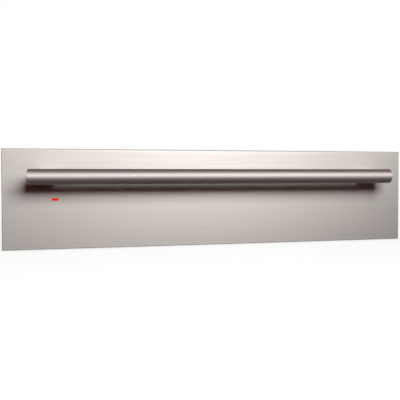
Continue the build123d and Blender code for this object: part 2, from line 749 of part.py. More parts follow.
drawer_screws = fasteners(
    facing_front(front_back_y + DRAWER_SHEET),
    front_screw_places,
    SCREW_D,
    SCREW_L,
    SCREW_HEAD_D,
    SCREW_HEAD_H,
)
save(drawer_screws, "drawer_screws")

# ---------------------------------------------------------------- controls
# box behind the front: a folded sheet with the holes of the thermostat and the switch
with BuildPart() as control_box:
    with BuildSketch(facing_right(-control_half_w)):
        with BuildLine():
            FilletPolyline(
                (floor_front_y, control_top_z - CONTROL_SHEET / 2),
                (control_back_y - CONTROL_SHEET / 2, control_top_z - CONTROL_SHEET / 2),
                (control_back_y - CONTROL_SHEET / 2, pad_z),
                radius=CONTROL_BEND_R,
            )
        trace(line_width=CONTROL_SHEET)
    extrude(amount=2 * control_half_w)
    with BuildSketch(level(control_top_z)):
        with Locations((KNOB_X, control_mid_y)):
            Circle(bush_r + FIT)
        with Locations((SWITCH_X, control_mid_y)):
            Rectangle(switch_body_w + 2 * FIT, switch_body_d + 2 * FIT)
    extrude(amount=-CONTROL_SHEET, mode=Mode.SUBTRACT)
save(control_box, "control_box")

# strip with the scale, on top of the box
with BuildPart() as control_strip:
    with BuildSketch(level(control_top_z)):
        with Locations((0, (floor_front_y + control_back_y - CONTROL_BEND_R) / 2)):
            Rectangle(2 * control_half_w, CONTROL_D - CONTROL_BEND_R)
        with Locations((KNOB_X, control_mid_y)):
            Circle(bush_r + FIT, mode=Mode.SUBTRACT)
        with Locations((SWITCH_X, control_mid_y)):
            Rectangle(switch_body_w + 2 * FIT, switch_body_d + 2 * FIT, mode=Mode.SUBTRACT)
    extrude(amount=STRIP_T)
save(control_strip, "control_strip")

# thermostat: a body under the box's top and the threaded bush that its shaft turns in
with BuildPart() as thermostat:
    with BuildSketch(level(control_top_z - CONTROL_SHEET)):
        with Locations((KNOB_X, control_mid_y)):
            RectangleRounded(THERMOSTAT_W, THERMOSTAT_D, THERMOSTAT_CORNER_R)
    extrude(amount=-THERMOSTAT_H)
    with BuildSketch(level(control_top_z - CONTROL_SHEET)):
        with Locations((KNOB_X, control_mid_y)):
            Circle(bush_r)
    extrude(amount=CONTROL_SHEET + STRIP_T + BUSH_PROUD)
    with BuildSketch(level(strip_top_z + BUSH_PROUD)):
        with Locations((KNOB_X, control_mid_y)):
            Circle(SHAFT_D / 2 + RUNNING_FIT)
    extrude(amount=-(CONTROL_SHEET + STRIP_T + BUSH_PROUD + SHAFT_DEPTH), mode=Mode.SUBTRACT)
save(thermostat, "thermostat")

with BuildPart() as thermostat_shaft:
    with BuildSketch(level(shaft_low_z)):
        with Locations((KNOB_X, control_mid_y)):
            Circle(SHAFT_D / 2)
    extrude(amount=knob_z + KNOB_BORE - shaft_low_z - RUNNING_FIT)
save(thermostat_shaft, "thermostat_shaft")

# knob: a round skirt with a straight grip across it and a pointer groove
with BuildPart() as thermostat_knob:
    with BuildSketch(level(knob_z)):
        with Locations((KNOB_X, control_mid_y)):
            Circle(KNOB_D / 2)
    extrude(amount=KNOB_H)
    fillet(thermostat_knob.edges().sort_by(Axis.Z)[-1], radius=KNOB_EDGE_R)
    with BuildSketch(level(knob_z + KNOB_H)):
        with Locations((KNOB_X, control_mid_y)):
            Circle(KNOB_D / 2 + FIT)
            Rectangle(KNOB_D + 2 * FIT, KNOB_GRIP_W, mode=Mode.SUBTRACT)
    extrude(amount=-KNOB_GRIP_CUT, mode=Mode.SUBTRACT)
    with BuildSketch(level(knob_z + KNOB_H)):
        with Locations((KNOB_X - KNOB_D / 2, control_mid_y)):
            Rectangle(KNOB_D / 2, POINTER_W)
    extrude(amount=-POINTER_DEPTH, mode=Mode.SUBTRACT)
    with BuildSketch(level(knob_z)):
        with Locations((KNOB_X, control_mid_y)):
            Circle(SHAFT_D / 2 + RUNNING_FIT)
    extrude(amount=KNOB_BORE, mode=Mode.SUBTRACT)
save(thermostat_knob, "thermostat_knob")

# switch: a bezel on the strip, a body through it and a well for the rocker
with BuildPart() as switch_body:
    with BuildSketch(level(strip_top_z)):
        with Locations((SWITCH_X, control_mid_y)):
            RectangleRounded(
                switch_body_w + 2 * SWITCH_LIP, switch_body_d + 2 * SWITCH_LIP, SWITCH_CORNER_R
            )
    extrude(amount=SWITCH_FRAME_T)
    with BuildSketch(level(strip_top_z)):
        with Locations((SWITCH_X, control_mid_y)):
            Rectangle(switch_body_w, switch_body_d)
    extrude(amount=-SWITCH_BODY_H)
    with BuildSketch(level(switch_top_z)):
        with Locations((SWITCH_X, control_mid_y)):
            Rectangle(SWITCH_OPENING_W, SWITCH_OPENING_D)
    extrude(amount=-SWITCH_WELL, mode=Mode.SUBTRACT)
    with BuildSketch(facing_front(control_mid_y + pin_half_l + FIT)):
        with Locations((SWITCH_X, pivot_z)):
            Circle(ROCKER_PIN_D / 2 + RUNNING_FIT)
    extrude(amount=2 * (pin_half_l + FIT), mode=Mode.SUBTRACT)
save(switch_body, "switch_body")

# rocker: a dished top over two pivot pins, drawn with its left end pressed
rocker_tilted = Plane(
    origin=(SWITCH_X, control_mid_y, pivot_z),
    x_dir=(cos(radians(ROCKER_TILT)), 0, sin(radians(ROCKER_TILT))),
    z_dir=(0, -1, 0),
)
with BuildPart() as switch_rocker:
    with BuildSketch(rocker_tilted):
        with BuildLine():
            ThreePointArc(
                (-rocker_half_w, ROCKER_TOP), (0, ROCKER_TOP - ROCKER_DIP), (rocker_half_w, ROCKER_TOP)
            )
            Polyline(
                (rocker_half_w, ROCKER_TOP),
                (rocker_foot_half_w, -ROCKER_FOOT),
                (-rocker_foot_half_w, -ROCKER_FOOT),
                (-rocker_half_w, ROCKER_TOP),
            )
        make_face()
    extrude(amount=SWITCH_OPENING_D / 2 - ROCKER_GAP, both=True)
    with BuildSketch(rocker_tilted):
        Circle(ROCKER_PIN_D / 2)
    extrude(amount=pin_half_l, both=True)
save(switch_rocker, "switch_rocker")

# ---------------------------------------------------------------- runners
def runner_member(centre_line):
    """A left-hand runner member: the upper half of its centre line, its mirror image and the sheet."""
    with BuildPart() as member:
        with BuildSketch(runner_section):
            with BuildLine():
                centre_line()
                mirror(about=Plane.XZ)
            trace(line_width=RUNNER_SHEET)
        extrude(amount=runner_l)
    return member


def cabinet_line():
    """C-shaped member on the bracket; its rolled edges hold the outer balls from above and below."""
    flange = outer_ball[1] + race_r
    FilletPolyline(
        (RUNNER_SHEET / 2, 0), (RUNNER_SHEET / 2, flange), (outer_ball[0], flange), radius=RUNNER_BEND_R
    )
    CenterArc(outer_ball, race_r, 90, -(90 + RACE_LIP_ANGLE))


def middle_line():
    """Middle member: it hooks over the inner balls, then dips under the outer ones."""
    flange = inner_ball[1] + race_r
    FilletPolyline((middle_web, 0), (middle_web, flange), (inner_ball[0], flange), radius=RUNNER_BEND_R)
    CenterArc(inner_ball, race_r, 90, RACE_ANGLE - 90)
    CenterArc(outer_ball, race_r, 180 + RACE_ANGLE, DIP_ANGLE)


def drawer_line():
    """Member on the drawer side; it runs on the inner balls."""
    flange = inner_ball[1] - race_r
    drawer_web = RUNNER_T - RUNNER_SHEET / 2
    CenterArc(inner_ball, race_r, 270 - DRAWER_RACE_ANGLE, DRAWER_RACE_ANGLE)
    FilletPolyline((inner_ball[0], flange), (drawer_web, flange), (drawer_web, 0), radius=RUNNER_BEND_R)


def rivet_holes(member):
    """Holes for the rivets through a left-hand member's web."""
    with BuildPart() as drilled:
        add(member.part)
        with BuildSketch(facing_right(-runner_outside_x - BRACKET_SHEET)):
            with Locations(*rivet_places):
                Circle(RIVET_D / 2 + RUNNING_FIT)
        extrude(amount=BRACKET_SHEET + RUNNER_T, mode=Mode.SUBTRACT)
    return drilled


save_pair(rivet_holes(runner_member(cabinet_line)), "runner_cabinet")
save_pair(runner_member(middle_line), "runner_middle")
save_pair(rivet_holes(runner_member(drawer_line)), "runner_drawer")


def ball_places(ball):
    """Centres of one cage's balls, upper and lower row."""
    return [
        (
            ball[0] - runner_outside_x,
            runner_mid_y + (i - (BALLS_IN_A_ROW - 1) / 2) * ball_pitch,
            RUNNER_Z + side * ball[1],
        )
        for i in range(BALLS_IN_A_ROW)
        for side in (-1, 1)
    ]


def ball_cage(web, ball):
    """A left-hand cage with its balls: a thin channel, notched for them, centred on the shut runner."""
    flange = ball[1] + CAGE_RISE
    notch_r = sqrt((BALL_D / 2) ** 2 - (CAGE_RISE - CAGE_SHEET / 2) ** 2) + FIT
    with BuildPart() as cage:
        with BuildSketch(runner_section.offset((runner_l - cage_l) / 2)):
            with BuildLine():
                FilletPolyline(
                    (web, 0), (web, flange), (ball[0] + CAGE_LIP, flange), radius=CAGE_BEND_R
                )
                mirror(about=Plane.XZ)
            trace(line_width=CAGE_SHEET)
        extrude(amount=cage_l)
        with BuildSketch(level(RUNNER_Z - RUNNER_H / 2)):
            with Locations(*[(x, y) for x, y, z in ball_places(ball) if z > RUNNER_Z]):
                Circle(notch_r)
        extrude(amount=RUNNER_H, mode=Mode.SUBTRACT)
        with Locations(*ball_places(ball)):
            Sphere(BALL_D / 2)
    return cage


outer_cage_web = RUNNER_SHEET + WEB_GAP / 2
inner_cage_web = middle_web + RUNNER_SHEET / 2 + WEB_GAP / 2
save_pair(ball_cage(outer_cage_web, outer_ball), "outer_cage")
save_pair(ball_cage(inner_cage_web, inner_ball), "inner_cage")

# bracket: a hat section that stands the runner off the side wall
bracket_wall = -inner_half_w + BRACKET_SHEET / 2
bracket_web = -runner_outside_x - BRACKET_SHEET / 2
half_web = BRACKET_WEB_H / 2
with BuildPart() as runner_bracket:
    with BuildSketch(facing_front(2 * RUNNER_START + runner_l - BRACKET_START)):
        with BuildLine():
            FilletPolyline(
                (bracket_wall, RUNNER_Z + half_web + BRACKET_FLANGE),
                (bracket_wall, RUNNER_Z + half_web),
                (bracket_web, RUNNER_Z + half_web),
                (bracket_web, RUNNER_Z - half_web),
                (bracket_wall, RUNNER_Z - half_web),
                (bracket_wall, RUNNER_Z - half_web - BRACKET_FLANGE),
                radius=BRACKET_SHEET,
            )
        trace(line_width=BRACKET_SHEET)
    extrude(amount=runner_l + 2 * (RUNNER_START - BRACKET_START))
save_pair(rivet_holes(runner_bracket), "runner_bracket")

# rivets: the heads of the bracket's lie behind it, those of the drawer's inside the drawer
with BuildPart() as bracket_rivets:
    add(
        fasteners(
            facing_right(-runner_outside_x - BRACKET_SHEET),
            rivet_places,
            RIVET_D,
            BRACKET_SHEET + RUNNER_SHEET,
            RIVET_HEAD_D,
            RIVET_HEAD_H,
        ).part
    )
    mirror(about=Plane.YZ)
save(bracket_rivets, "bracket_rivets")

with BuildPart() as drawer_rivets:
    add(
        fasteners(
            facing_right(-drawer_inside_x),
            rivet_places,
            RIVET_D,
            -(DRAWER_SHEET + RUNNER_SHEET),
            RIVET_HEAD_D,
            -RIVET_HEAD_H,
        ).part
    )
    mirror(about=Plane.YZ)
save(drawer_rivets, "drawer_rivets")

# ---------------------------------------------------------------- fan heater
# grille: it closes the cavity off, with an intake before the fan and outlets left and right
with BuildPart() as air_grille:
    with BuildSketch(facing_right(-grille_half_w)):
        with BuildLine():
            FilletPolyline(
                (grille_y + GRILLE_FLANGE, HOUSING_SHEET + GRILLE_SHEET / 2),
                (grille_y + GRILLE_SHEET / 2, HOUSING_SHEET + GRILLE_SHEET / 2),
                (grille_y + GRILLE_SHEET / 2, HOUSING_H - HOUSING_SHEET - GRILLE_SHEET / 2),
                (grille_y + GRILLE_FLANGE, HOUSING_H - HOUSING_SHEET - GRILLE_SHEET / 2),
                radius=GRILLE_BEND_R,
            )
        trace(line_width=GRILLE_SHEET)
    extrude(amount=2 * grille_half_w)
    with BuildSketch(facing_front(grille_y + GRILLE_SHEET)):
        for row in range(INTAKE_ROWS):
            drop = (row - (INTAKE_ROWS - 1) / 2) * INTAKE_PITCH
            with Locations((0, FAN_Z + drop)):
                SlotOverall(2 * sqrt(INTAKE_R**2 - drop**2), INTAKE_SLOT_W)
        with Locations((-OUTLET_X, FAN_Z), (OUTLET_X, FAN_Z)):
            with GridLocations(OUTLET_PITCH, 0, OUTLET_SLOTS, 1):
                SlotOverall(OUTLET_SLOT_L, OUTLET_SLOT_W, rotation=90)
    extrude(amount=GRILLE_SHEET, mode=Mode.SUBTRACT)
save(air_grille, "air_grille")

# plate that carries the motor and the ring heater
with BuildPart() as fan_plate:
    with BuildSketch(facing_right(-FAN_PLATE_W / 2)):
        with BuildLine():
            FilletPolyline(
                (fan_plate_y + GRILLE_FLANGE, HOUSING_SHEET + GRILLE_SHEET / 2),
                (fan_plate_y + GRILLE_SHEET / 2, HOUSING_SHEET + GRILLE_SHEET / 2),
                (fan_plate_y + GRILLE_SHEET / 2, HOUSING_H - HOUSING_SHEET - GRILLE_SHEET / 2),
                (fan_plate_y + GRILLE_FLANGE, HOUSING_H - HOUSING_SHEET - GRILLE_SHEET / 2),
                radius=GRILLE_BEND_R,
            )
        trace(line_width=GRILLE_SHEET)
    extrude(amount=FAN_PLATE_W)
    with BuildSketch(facing_front(motor_y)):
        with Locations((0, FAN_Z)):
            Circle(MOTOR_BOSS_D / 2 + FIT)
        with Locations(*heater_ends):
            Circle(HEATER_TUBE_D / 2 + FIT)
    extrude(amount=GRILLE_SHEET, mode=Mode.SUBTRACT)
save(fan_plate, "fan_plate")

# radial fan wheel: a disc, forward curved blades, a front ring and a hub
with BuildSketch() as fan_blade:
    with BuildLine():
        SagittaArc(
            (FAN_EYE_D / 2, 0),
            (blade_tip_r * cos(radians(FAN_SWEEP)), blade_tip_r * sin(radians(FAN_SWEEP))),
            FAN_BLADE_BOW,
        )
    trace(line_width=FAN_BLADE_T)
with BuildPart() as fan_wheel:
    with BuildSketch(facing_front(fan_disc_y + FAN_DISC_T)):
        with Locations((0, FAN_Z)):
            Circle(FAN_D / 2)
    extrude(amount=FAN_DISC_T)
    with BuildSketch(facing_front(fan_disc_y)):
        with Locations((0, FAN_Z)):
            with PolarLocations(0, FAN_BLADES):
                add(fan_blade.sketch)
    extrude(amount=FAN_BLADE_H)
    with BuildSketch(facing_front(fan_front_y + FAN_DISC_T)):
        with Locations((0, FAN_Z)):
            Circle(FAN_D / 2)
            Circle(FAN_EYE_D / 2 + FAN_RING_SETBACK, mode=Mode.SUBTRACT)
    extrude(amount=FAN_DISC_T)
    with BuildSketch(facing_front(fan_disc_y)):
        with Locations((0, FAN_Z)):
            Circle(FAN_HUB_D / 2)
    extrude(amount=FAN_HUB_L)
    with BuildSketch(facing_front(fan_disc_y + FAN_DISC_T)):
        with Locations((0, FAN_Z)):
            Circle(FAN_SHAFT_D / 2 + RUNNING_FIT)
    extrude(amount=FAN_DISC_T + FAN_HUB_L, mode=Mode.SUBTRACT)
save(fan_wheel, "fan_wheel")

with BuildPart() as fan_shaft:
    with BuildSketch(facing_front(motor_back_y - FIT)):
        with Locations((0, FAN_Z)):
            Circle(FAN_SHAFT_D / 2)
    extrude(amount=motor_back_y - FIT - (fan_disc_y - FAN_HUB_L))
save(fan_shaft, "fan_shaft")

# motor: laminated stack with its coil, between two bearing brackets
with BuildPart() as fan_motor:
    with BuildSketch(facing_front(stack_y)):
        with Locations((0, FAN_Z)):
            RectangleRounded(MOTOR_BRACKET_W, MOTOR_STACK_H, MOTOR_CORNER_R)
    extrude(amount=MOTOR_BRACKET_T)
    with BuildSketch(facing_front(motor_y)):
        with Locations((0, FAN_Z)):
            Circle(MOTOR_BOSS_D / 2)
    extrude(amount=GRILLE_SHEET + MOTOR_BOSS_PROUD)
    with BuildSketch(facing_front(stack_y + MOTOR_STACK_T)):
        with Locations((0, FAN_Z)):
            RectangleRounded(MOTOR_STACK_W, MOTOR_STACK_H, MOTOR_CORNER_R)
    extrude(amount=MOTOR_STACK_T)
    with BuildSketch(facing_front(stack_y + MOTOR_STACK_T / 2 + MOTOR_COIL_T / 2)):
        with Locations((0, FAN_Z - MOTOR_STACK_H / 2 - MOTOR_COIL_H / 2)):
            RectangleRounded(MOTOR_COIL_W, MOTOR_COIL_H, MOTOR_CORNER_R)
    extrude(amount=MOTOR_COIL_T)
    with BuildSketch(facing_front(motor_back_y)):
        with Locations((0, FAN_Z)):
            RectangleRounded(MOTOR_BRACKET_W, MOTOR_STACK_H / 2, MOTOR_CORNER_R)
    extrude(amount=MOTOR_BRACKET_T / 2)
    with BuildSketch(facing_front(motor_back_y)):
        with Locations((0, FAN_Z)):
            Circle(FAN_SHAFT_D / 2 + RUNNING_FIT)
    extrude(amount=motor_back_y - motor_y + GRILLE_SHEET + MOTOR_BOSS_PROUD, mode=Mode.SUBTRACT)
save(fan_motor, "fan_motor")

# ring heater: a tube round the fan wheel whose two ends turn back through the plate
with BuildPart() as ring_heater:
    with BuildLine(facing_front(heater_y)):
        CenterArc(
            (0, FAN_Z),
            heater_ring_r,
            -90 + HEATER_TERMINAL_ANGLE,
            360 - 2 * HEATER_TERMINAL_ANGLE,
        )
    for side in (-1, 1):
        angle = radians(-90 + side * HEATER_TERMINAL_ANGLE)
        ring_end = (heater_ring_r * cos(angle), heater_y, FAN_Z + heater_ring_r * sin(angle))
        along = (side * sin(angle), 0, -side * cos(angle))
        bend_plane = Plane(origin=ring_end, x_dir=along, z_dir=Vector(*along).cross(Vector(0, 1, 0)))
        with BuildLine(bend_plane):
            CenterArc((0, HEATER_BEND_R), HEATER_BEND_R, -90, 90)
            Line((HEATER_BEND_R, HEATER_BEND_R), (HEATER_BEND_R, fan_plate_y - heater_y + HEATER_TAIL))
    with BuildSketch(facing_front(fan_plate_y + HEATER_TAIL)):
        with Locations(heater_ends[0]):
            Circle(HEATER_TUBE_D / 2)
    sweep()
save(ring_heater, "ring_heater")

# over-temperature cut-out on the plate
with BuildPart() as thermal_cutout:
    with BuildSketch(facing_front(motor_y + CUTOUT_H)):
        with Locations((CUTOUT_X, FAN_Z)):
            Circle(CUTOUT_D / 2)
    extrude(amount=CUTOUT_H)
    with BuildSketch(facing_front(motor_y + CUTOUT_H + CUTOUT_TAB_L)):
        with Locations((CUTOUT_X, FAN_Z)):
            with GridLocations(CUTOUT_D / 2, 0, 2, 1):
                Rectangle(LAMP_TAB_T, CUTOUT_TAB_W)
    extrude(amount=CUTOUT_TAB_L)
save(thermal_cutout, "thermal_cutout")

# ---------------------------------------------------------------- mains connection
with BuildPart() as terminal_block:
    with BuildSketch(facing_front(back_y)):
        with Locations((TERMINAL_X, TERMINAL_Z)):
            RectangleRounded(TERMINAL_W, TERMINAL_H, TERMINAL_CORNER_R)
    extrude(amount=TERMINAL_D)
    with BuildSketch(facing_front(back_y - TERMINAL_D)):
        with Locations((TERMINAL_X, TERMINAL_Z)):
            with GridLocations(TERMINAL_W / TERMINAL_POLES, 0, TERMINAL_POLES, 1):
                Circle(TERMINAL_HOLE_D / 2)
    extrude(amount=-TERMINAL_HOLE_DEPTH, mode=Mode.SUBTRACT)
save(terminal_block, "terminal_block")

# cable gland: a flanged sleeve through the rear sheet, with its nut inside
with BuildPart() as cable_gland:
    with BuildSketch(facing_right(GLAND_X)):
        with BuildLine():
            Polyline(
                (back_y - GLAND_NUT_T, GLAND_Z + GLAND_BORE_D / 2),
                (back_y - GLAND_NUT_T, GLAND_Z + GLAND_BARREL_D / 2),
                (HOUSING_D, GLAND_Z + GLAND_BARREL_D / 2),
                (HOUSING_D, GLAND_Z + GLAND_FLANGE_D / 2),
                (HOUSING_D + GLAND_FLANGE_T, GLAND_Z + GLAND_FLANGE_D / 2),
                (HOUSING_D + GLAND_FLANGE_T, GLAND_Z + GLAND_BARREL_D / 2),
                (HOUSING_D + GLAND_FLANGE_T + GLAND_NOSE_L, GLAND_Z + GLAND_NOSE_D / 2),
                (HOUSING_D + GLAND_FLANGE_T + GLAND_NOSE_L, GLAND_Z + GLAND_BORE_D / 2),
                close=True,
            )
        make_face()
    revolve(axis=Axis((GLAND_X, 0, GLAND_Z), (0, 1, 0)))
    with BuildSketch(facing_front(back_y)):
        with Locations((GLAND_X, GLAND_Z)):
            RegularPolygon(GLAND_NUT_D / 2, 6)
            Circle(GLAND_BARREL_D / 2 + RUNNING_FIT, mode=Mode.SUBTRACT)
    extrude(amount=GLAND_NUT_T)
save(cable_gland, "cable_gland")

back_screws = fasteners(
    facing_front(HOUSING_D),
    [
        (side * (inner_half_w - SIDE_FLANGE / 2), HOUSING_H / 2 + end * BACK_SCREW_SPAN_Z / 2)
        for side in (-1, 1)
        for end in (-1, 1)
    ],
    SCREW_D,
    SCREW_L,
    SCREW_HEAD_D,
    SCREW_HEAD_H,
)
save(back_screws, "back_screws")
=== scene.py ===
import json
from math import cos, pi, radians, sin, sqrt

import bmesh
import bpy
from mathutils import Matrix, Vector


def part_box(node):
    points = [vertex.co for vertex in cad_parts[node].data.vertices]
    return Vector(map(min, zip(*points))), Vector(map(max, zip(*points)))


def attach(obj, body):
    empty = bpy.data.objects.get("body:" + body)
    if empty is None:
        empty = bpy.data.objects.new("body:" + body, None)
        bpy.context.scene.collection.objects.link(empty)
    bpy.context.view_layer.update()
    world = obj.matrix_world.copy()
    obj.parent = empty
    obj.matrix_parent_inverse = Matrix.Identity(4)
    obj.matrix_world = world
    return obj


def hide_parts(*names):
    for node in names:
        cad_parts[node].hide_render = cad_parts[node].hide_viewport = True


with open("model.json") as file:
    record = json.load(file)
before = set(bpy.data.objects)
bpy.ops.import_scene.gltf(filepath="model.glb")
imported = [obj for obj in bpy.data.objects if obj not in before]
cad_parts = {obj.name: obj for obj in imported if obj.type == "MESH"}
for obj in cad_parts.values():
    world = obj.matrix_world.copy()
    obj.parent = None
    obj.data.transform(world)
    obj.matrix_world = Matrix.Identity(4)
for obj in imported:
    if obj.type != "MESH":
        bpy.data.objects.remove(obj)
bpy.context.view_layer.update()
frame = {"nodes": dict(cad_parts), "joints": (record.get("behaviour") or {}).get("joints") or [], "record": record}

# A built-in warming drawer, seen from the front. Metres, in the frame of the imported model:
# X to the right as seen from the front, Y into the cabinet, Z up from the niche floor.
NODES = frame["nodes"]
JOINTS = {joint["name"]: joint for joint in frame["joints"]}
SLOT_OF = {row["node"]: row["material_slot"] for row in frame["record"]["subparts"]}

# ---------------------------------------------------------------- view and light
# Angles are in degrees, powers in watts, and a lamp's size is its width and height.
# AMBIENT is the world's light on matt surfaces, as a share of the white that is seen.
CAMERA_PLACE = (-0.1239, -0.7090, 0.1104)
CAMERA_YAW = 11.27
CAMERA_PITCH = 1.03
CAMERA_LENS = 42.32
CAMERA_SHIFT = (-0.0625, -0.05)
CAMERA_NEAR = 0.01

SOFTBOX_PLACE = (0.0925, -0.780, 0.410)
SOFTBOX_AIM = (-0.45, 0.0, 0.46)
SOFTBOX_SIZE = (0.42, 0.30)
SOFTBOX_POWER = 8.7
WARM_FILL_PLACE = (0.0, -1.3, 0.35)
WARM_FILL_AIM = (0.0, 0.0, 0.07)
WARM_FILL_SIZE = (0.6, 0.4)
WARM_FILL_POWER = 0.55
WARM_FILL_COLOUR = (1.0, 0.3, 0.25)
BACK_LIGHT_PLACE = (0.0, 1.9, 1.1)
BACK_LIGHT_AIM = (0.0, 0.4, 0.07)
BACK_LIGHT_SIZE = (1.2, 0.9)
BACK_LIGHT_POWER = 20.0
AMBIENT = 0.6

# FLOOR_WHITE is the share of plain white near the object and far from it,
# FLOOR_FADE the distances from the origin between which it changes.
FLOOR_HALF = 12.0
FLOOR_COLOUR = (0.86, 0.86, 0.86, 1.0)
FLOOR_WHITE = (0.78, 1.0)
FLOOR_FADE = (0.7, 2.6)

# The dark sheet starts at the foot of the front, whose face is at PANEL_Y.
PANEL_Y = -0.023
CARD_HALF_W = 4.5
CARD_FRONT_Y = -1.6
CARD_TOP_Z = 1.9
CARD_BACK_Y = 2.0
CARD_CLEARANCE = 0.0005
CARD_LEVEL = 0.012
CARD_COLOUR = (1.0, 0.3, 0.25, 1.0)


# ---------------------------------------------------------------- helpers
def node(tree, kind, inputs=(), **settings):
    """A shader node: plain values go on its sockets, other nodes' outputs are linked to them."""
    made = tree.nodes.new("ShaderNode" + kind)
    for name, value in settings.items():
        setattr(made, name, value)
    for key, value in dict(inputs).items():
        if isinstance(value, bpy.types.NodeSocket):
            tree.links.new(value, made.inputs[key])
        else:
            made.inputs[key].default_value = value
    return made


def math_node(tree, operation, first, second=None):
    """The result of a Math node. Some operations take one value only."""
    values = {0: first} if second is None else {0: first, 1: second}
    return node(tree, "Math", values, operation=operation).outputs["Value"]


def vector_node(tree, operation, first, second=None):
    """The resulting vector of a Vector Math node. Some operations take one vector only."""
    values = {0: first} if second is None else {0: first, 1: second}
    return node(tree, "VectorMath", values, operation=operation).outputs["Vector"]


def principled(name, **values):
    """A material with one Principled shader; plain values go on the shader's own sockets."""
    made = bpy.data.materials.new(name)
    made.use_nodes = True
    shader = made.node_tree.nodes["Principled BSDF"]
    for key, value in values.items():
        shader.inputs[key.replace("_", " ")].default_value = value
    return made, made.node_tree, shader


def spread(tree, value, low, high, value_low=0.3, value_high=0.7):
    """A value moved to a new range. Noise lies mostly between 0.3 and 0.7."""
    made = node(
        tree,
        "MapRange",
        {"Value": value, "From Min": value_low, "From Max": value_high, "To Min": low, "To Max": high},
    )
    return made.outputs["Result"]


def mixed(tree, share, first, second):
    """A colour between two others."""
    made = node(tree, "Mix", data_type="RGBA")
    tree.links.new(share, made.inputs["Factor"])
    for socket, colour in ((made.inputs[6], first), (made.inputs[7], second)):
        if isinstance(colour, bpy.types.NodeSocket):
            tree.links.new(colour, socket)
        else:
            socket.default_value = colour
    return made.outputs[2]


def grain(tree, per_metre, detail):
    """Noise with so many cells to a metre along X, Y and Z."""
    where = node(tree, "TexCoord").outputs["Object"]
    scaled = node(tree, "Mapping", {"Vector": where, "Scale": per_metre}).outputs["Vector"]
    return node(tree, "TexNoise", {"Vector": scaled, "Scale": 1.0, "Detail": detail}).outputs["Fac"]


def even(cells):
    """The same number of cells to a metre along X, Y and Z."""
    return (cells, cells, cells)


def clouded(tree, cells, first, second, detail):
    """Noise, and the colour that drifts between two others with it."""
    cloud = grain(tree, even(cells), detail)
    return cloud, mixed(tree, spread(tree, cloud, 0.0, 1.0), first, second)


def roughened(tree, shader, noise, roughness, change):
    """Roughness that goes with noise: change holds what is added to it at the noise's two ends."""
    low, high = [roughness + part for part in change]
    tree.links.new(spread(tree, noise, low, high), shader.inputs["Roughness"])


def bumped(tree, shader, height, distance, strength):
    """Relief on a shader: distance is its height in metres."""
    made = node(tree, "Bump", {"Height": height, "Distance": distance, "Strength": strength})
    tree.links.new(made.outputs["Normal"], shader.inputs["Normal"])


def rgba(red, green, blue):
    """An opaque colour."""
    return (red, green, blue, 1.0)


def shade(colour, share):
    """The same colour, darker or lighter."""
    return rgba(*[min(1.0, part * share) for part in colour[:3]])


# ---------------------------------------------------------------- materials
PANEL_COLOUR = rgba(0.77, 0.748, 0.716)
BAR_COLOUR = rgba(0.822, 0.768, 0.742)
SHEET_COLOUR = rgba(0.70, 0.69, 0.68)
ZINC = rgba(0.64, 0.65, 0.67)
BRIGHT_ZINC = rgba(0.70, 0.70, 0.71)
ALUMINIUM_FOIL = rgba(0.72, 0.72, 0.73)
FAN_ALUMINIUM = rgba(0.74, 0.75, 0.76)
NICKEL = rgba(0.66, 0.64, 0.60)
SPANGLE_COLOURS = (rgba(0.56, 0.575, 0.59), rgba(0.66, 0.67, 0.68), rgba(0.52, 0.53, 0.54))
LENS_REDS = (rgba(0.52, 0.005, 0.004), rgba(0.62, 0.008, 0.005))
PRINT_BLACKS = (rgba(0.012, 0.012, 0.013), rgba(0.02, 0.02, 0.022))
WOOL_COLOURS = (rgba(0.50, 0.46, 0.30), rgba(0.66, 0.62, 0.45), rgba(0.78, 0.75, 0.62))
TEMPER_COLOURS = (rgba(0.17, 0.14, 0.12), rgba(0.16, 0.17, 0.21))
SILICONE_GREY = rgba(0.16, 0.16, 0.17)
MAT_GREY = rgba(0.10, 0.10, 0.11)
CREAM = rgba(0.80, 0.78, 0.72)
BLACK = rgba(0.03, 0.03, 0.032)
MOTOR_GREY = rgba(0.12, 0.125, 0.14)

# Cells to a metre of the brushed grain, along X, Y and Z.
FRONT_GRAIN = (7.0, 900.0, 2400.0)
BAR_GRAIN = (7.0, 1600.0, 1600.0)
DRAWER_GRAIN = (400.0, 6.0, 900.0)

# The painted edge light: how far the painted highlight line and the painted shade at the rim lie from the edge,
# and how strong they are.
HIGHLIGHT_LINE_INSET = 0.0024
HIGHLIGHT_LINE_W = 0.0008
HIGHLIGHT_LINE_SHARE = 0.6
SHADE_RIM_INSET = 0.0018
SHADE_RIM_SHARE = 0.28
# The colour of the painted highlight line and of the painted shade at the rim.
PAINTED_EDGE_HIGHLIGHT = rgba(0.86, 0.84, 0.82)
PAINTED_EDGE_SHADE = rgba(0.55, 0.51, 0.48)

# The brushed grain: the width of its broad streaks in scratches, its shades, and its relief.
STREAK_WIDTH = 6
STREAK_SHADES = (0.98, 1.02)
SCRATCH_SHADE = 0.96
SCRATCH_SHARE = 0.5
SCRATCH_DEPTH = 0.00001
SCRATCH_ROUGHNESS = (-0.04, 0.05)

# The other looks: the cells to a metre of their noise, how much of it shows, and their relief.
# Roughness is given as its two ends, or as what is added to a look's own roughness at them.
SPANGLE_CELLS = 110.0
SPANGLE_ROUGHNESS = (0.40, 0.52)
HAZE_CELLS = 14.0
HAZE_SHARE = 0.35
PLATING_CELLS = 45.0
PLATING_SHADES = (0.9, 1.05)
PLATING_ROUGHNESS = (0.07, -0.05)
CLOUD_CELLS = 25.0
CLOUD_ROUGHNESS = (-0.05, 0.05)
LENS_CELLS = 300.0
PRINT_CELLS = 700.0
TUFT_CELLS = 40.0
FIBRE_CELLS = (900.0, 250.0, 900.0)
FIBRE_SHARE = 0.5
FIBRE_DEPTH = 0.0006
TEMPER_CELLS = 30.0
OXIDE_CELLS = 500.0
OXIDE_ROUGHNESS = (0.40, 0.55)


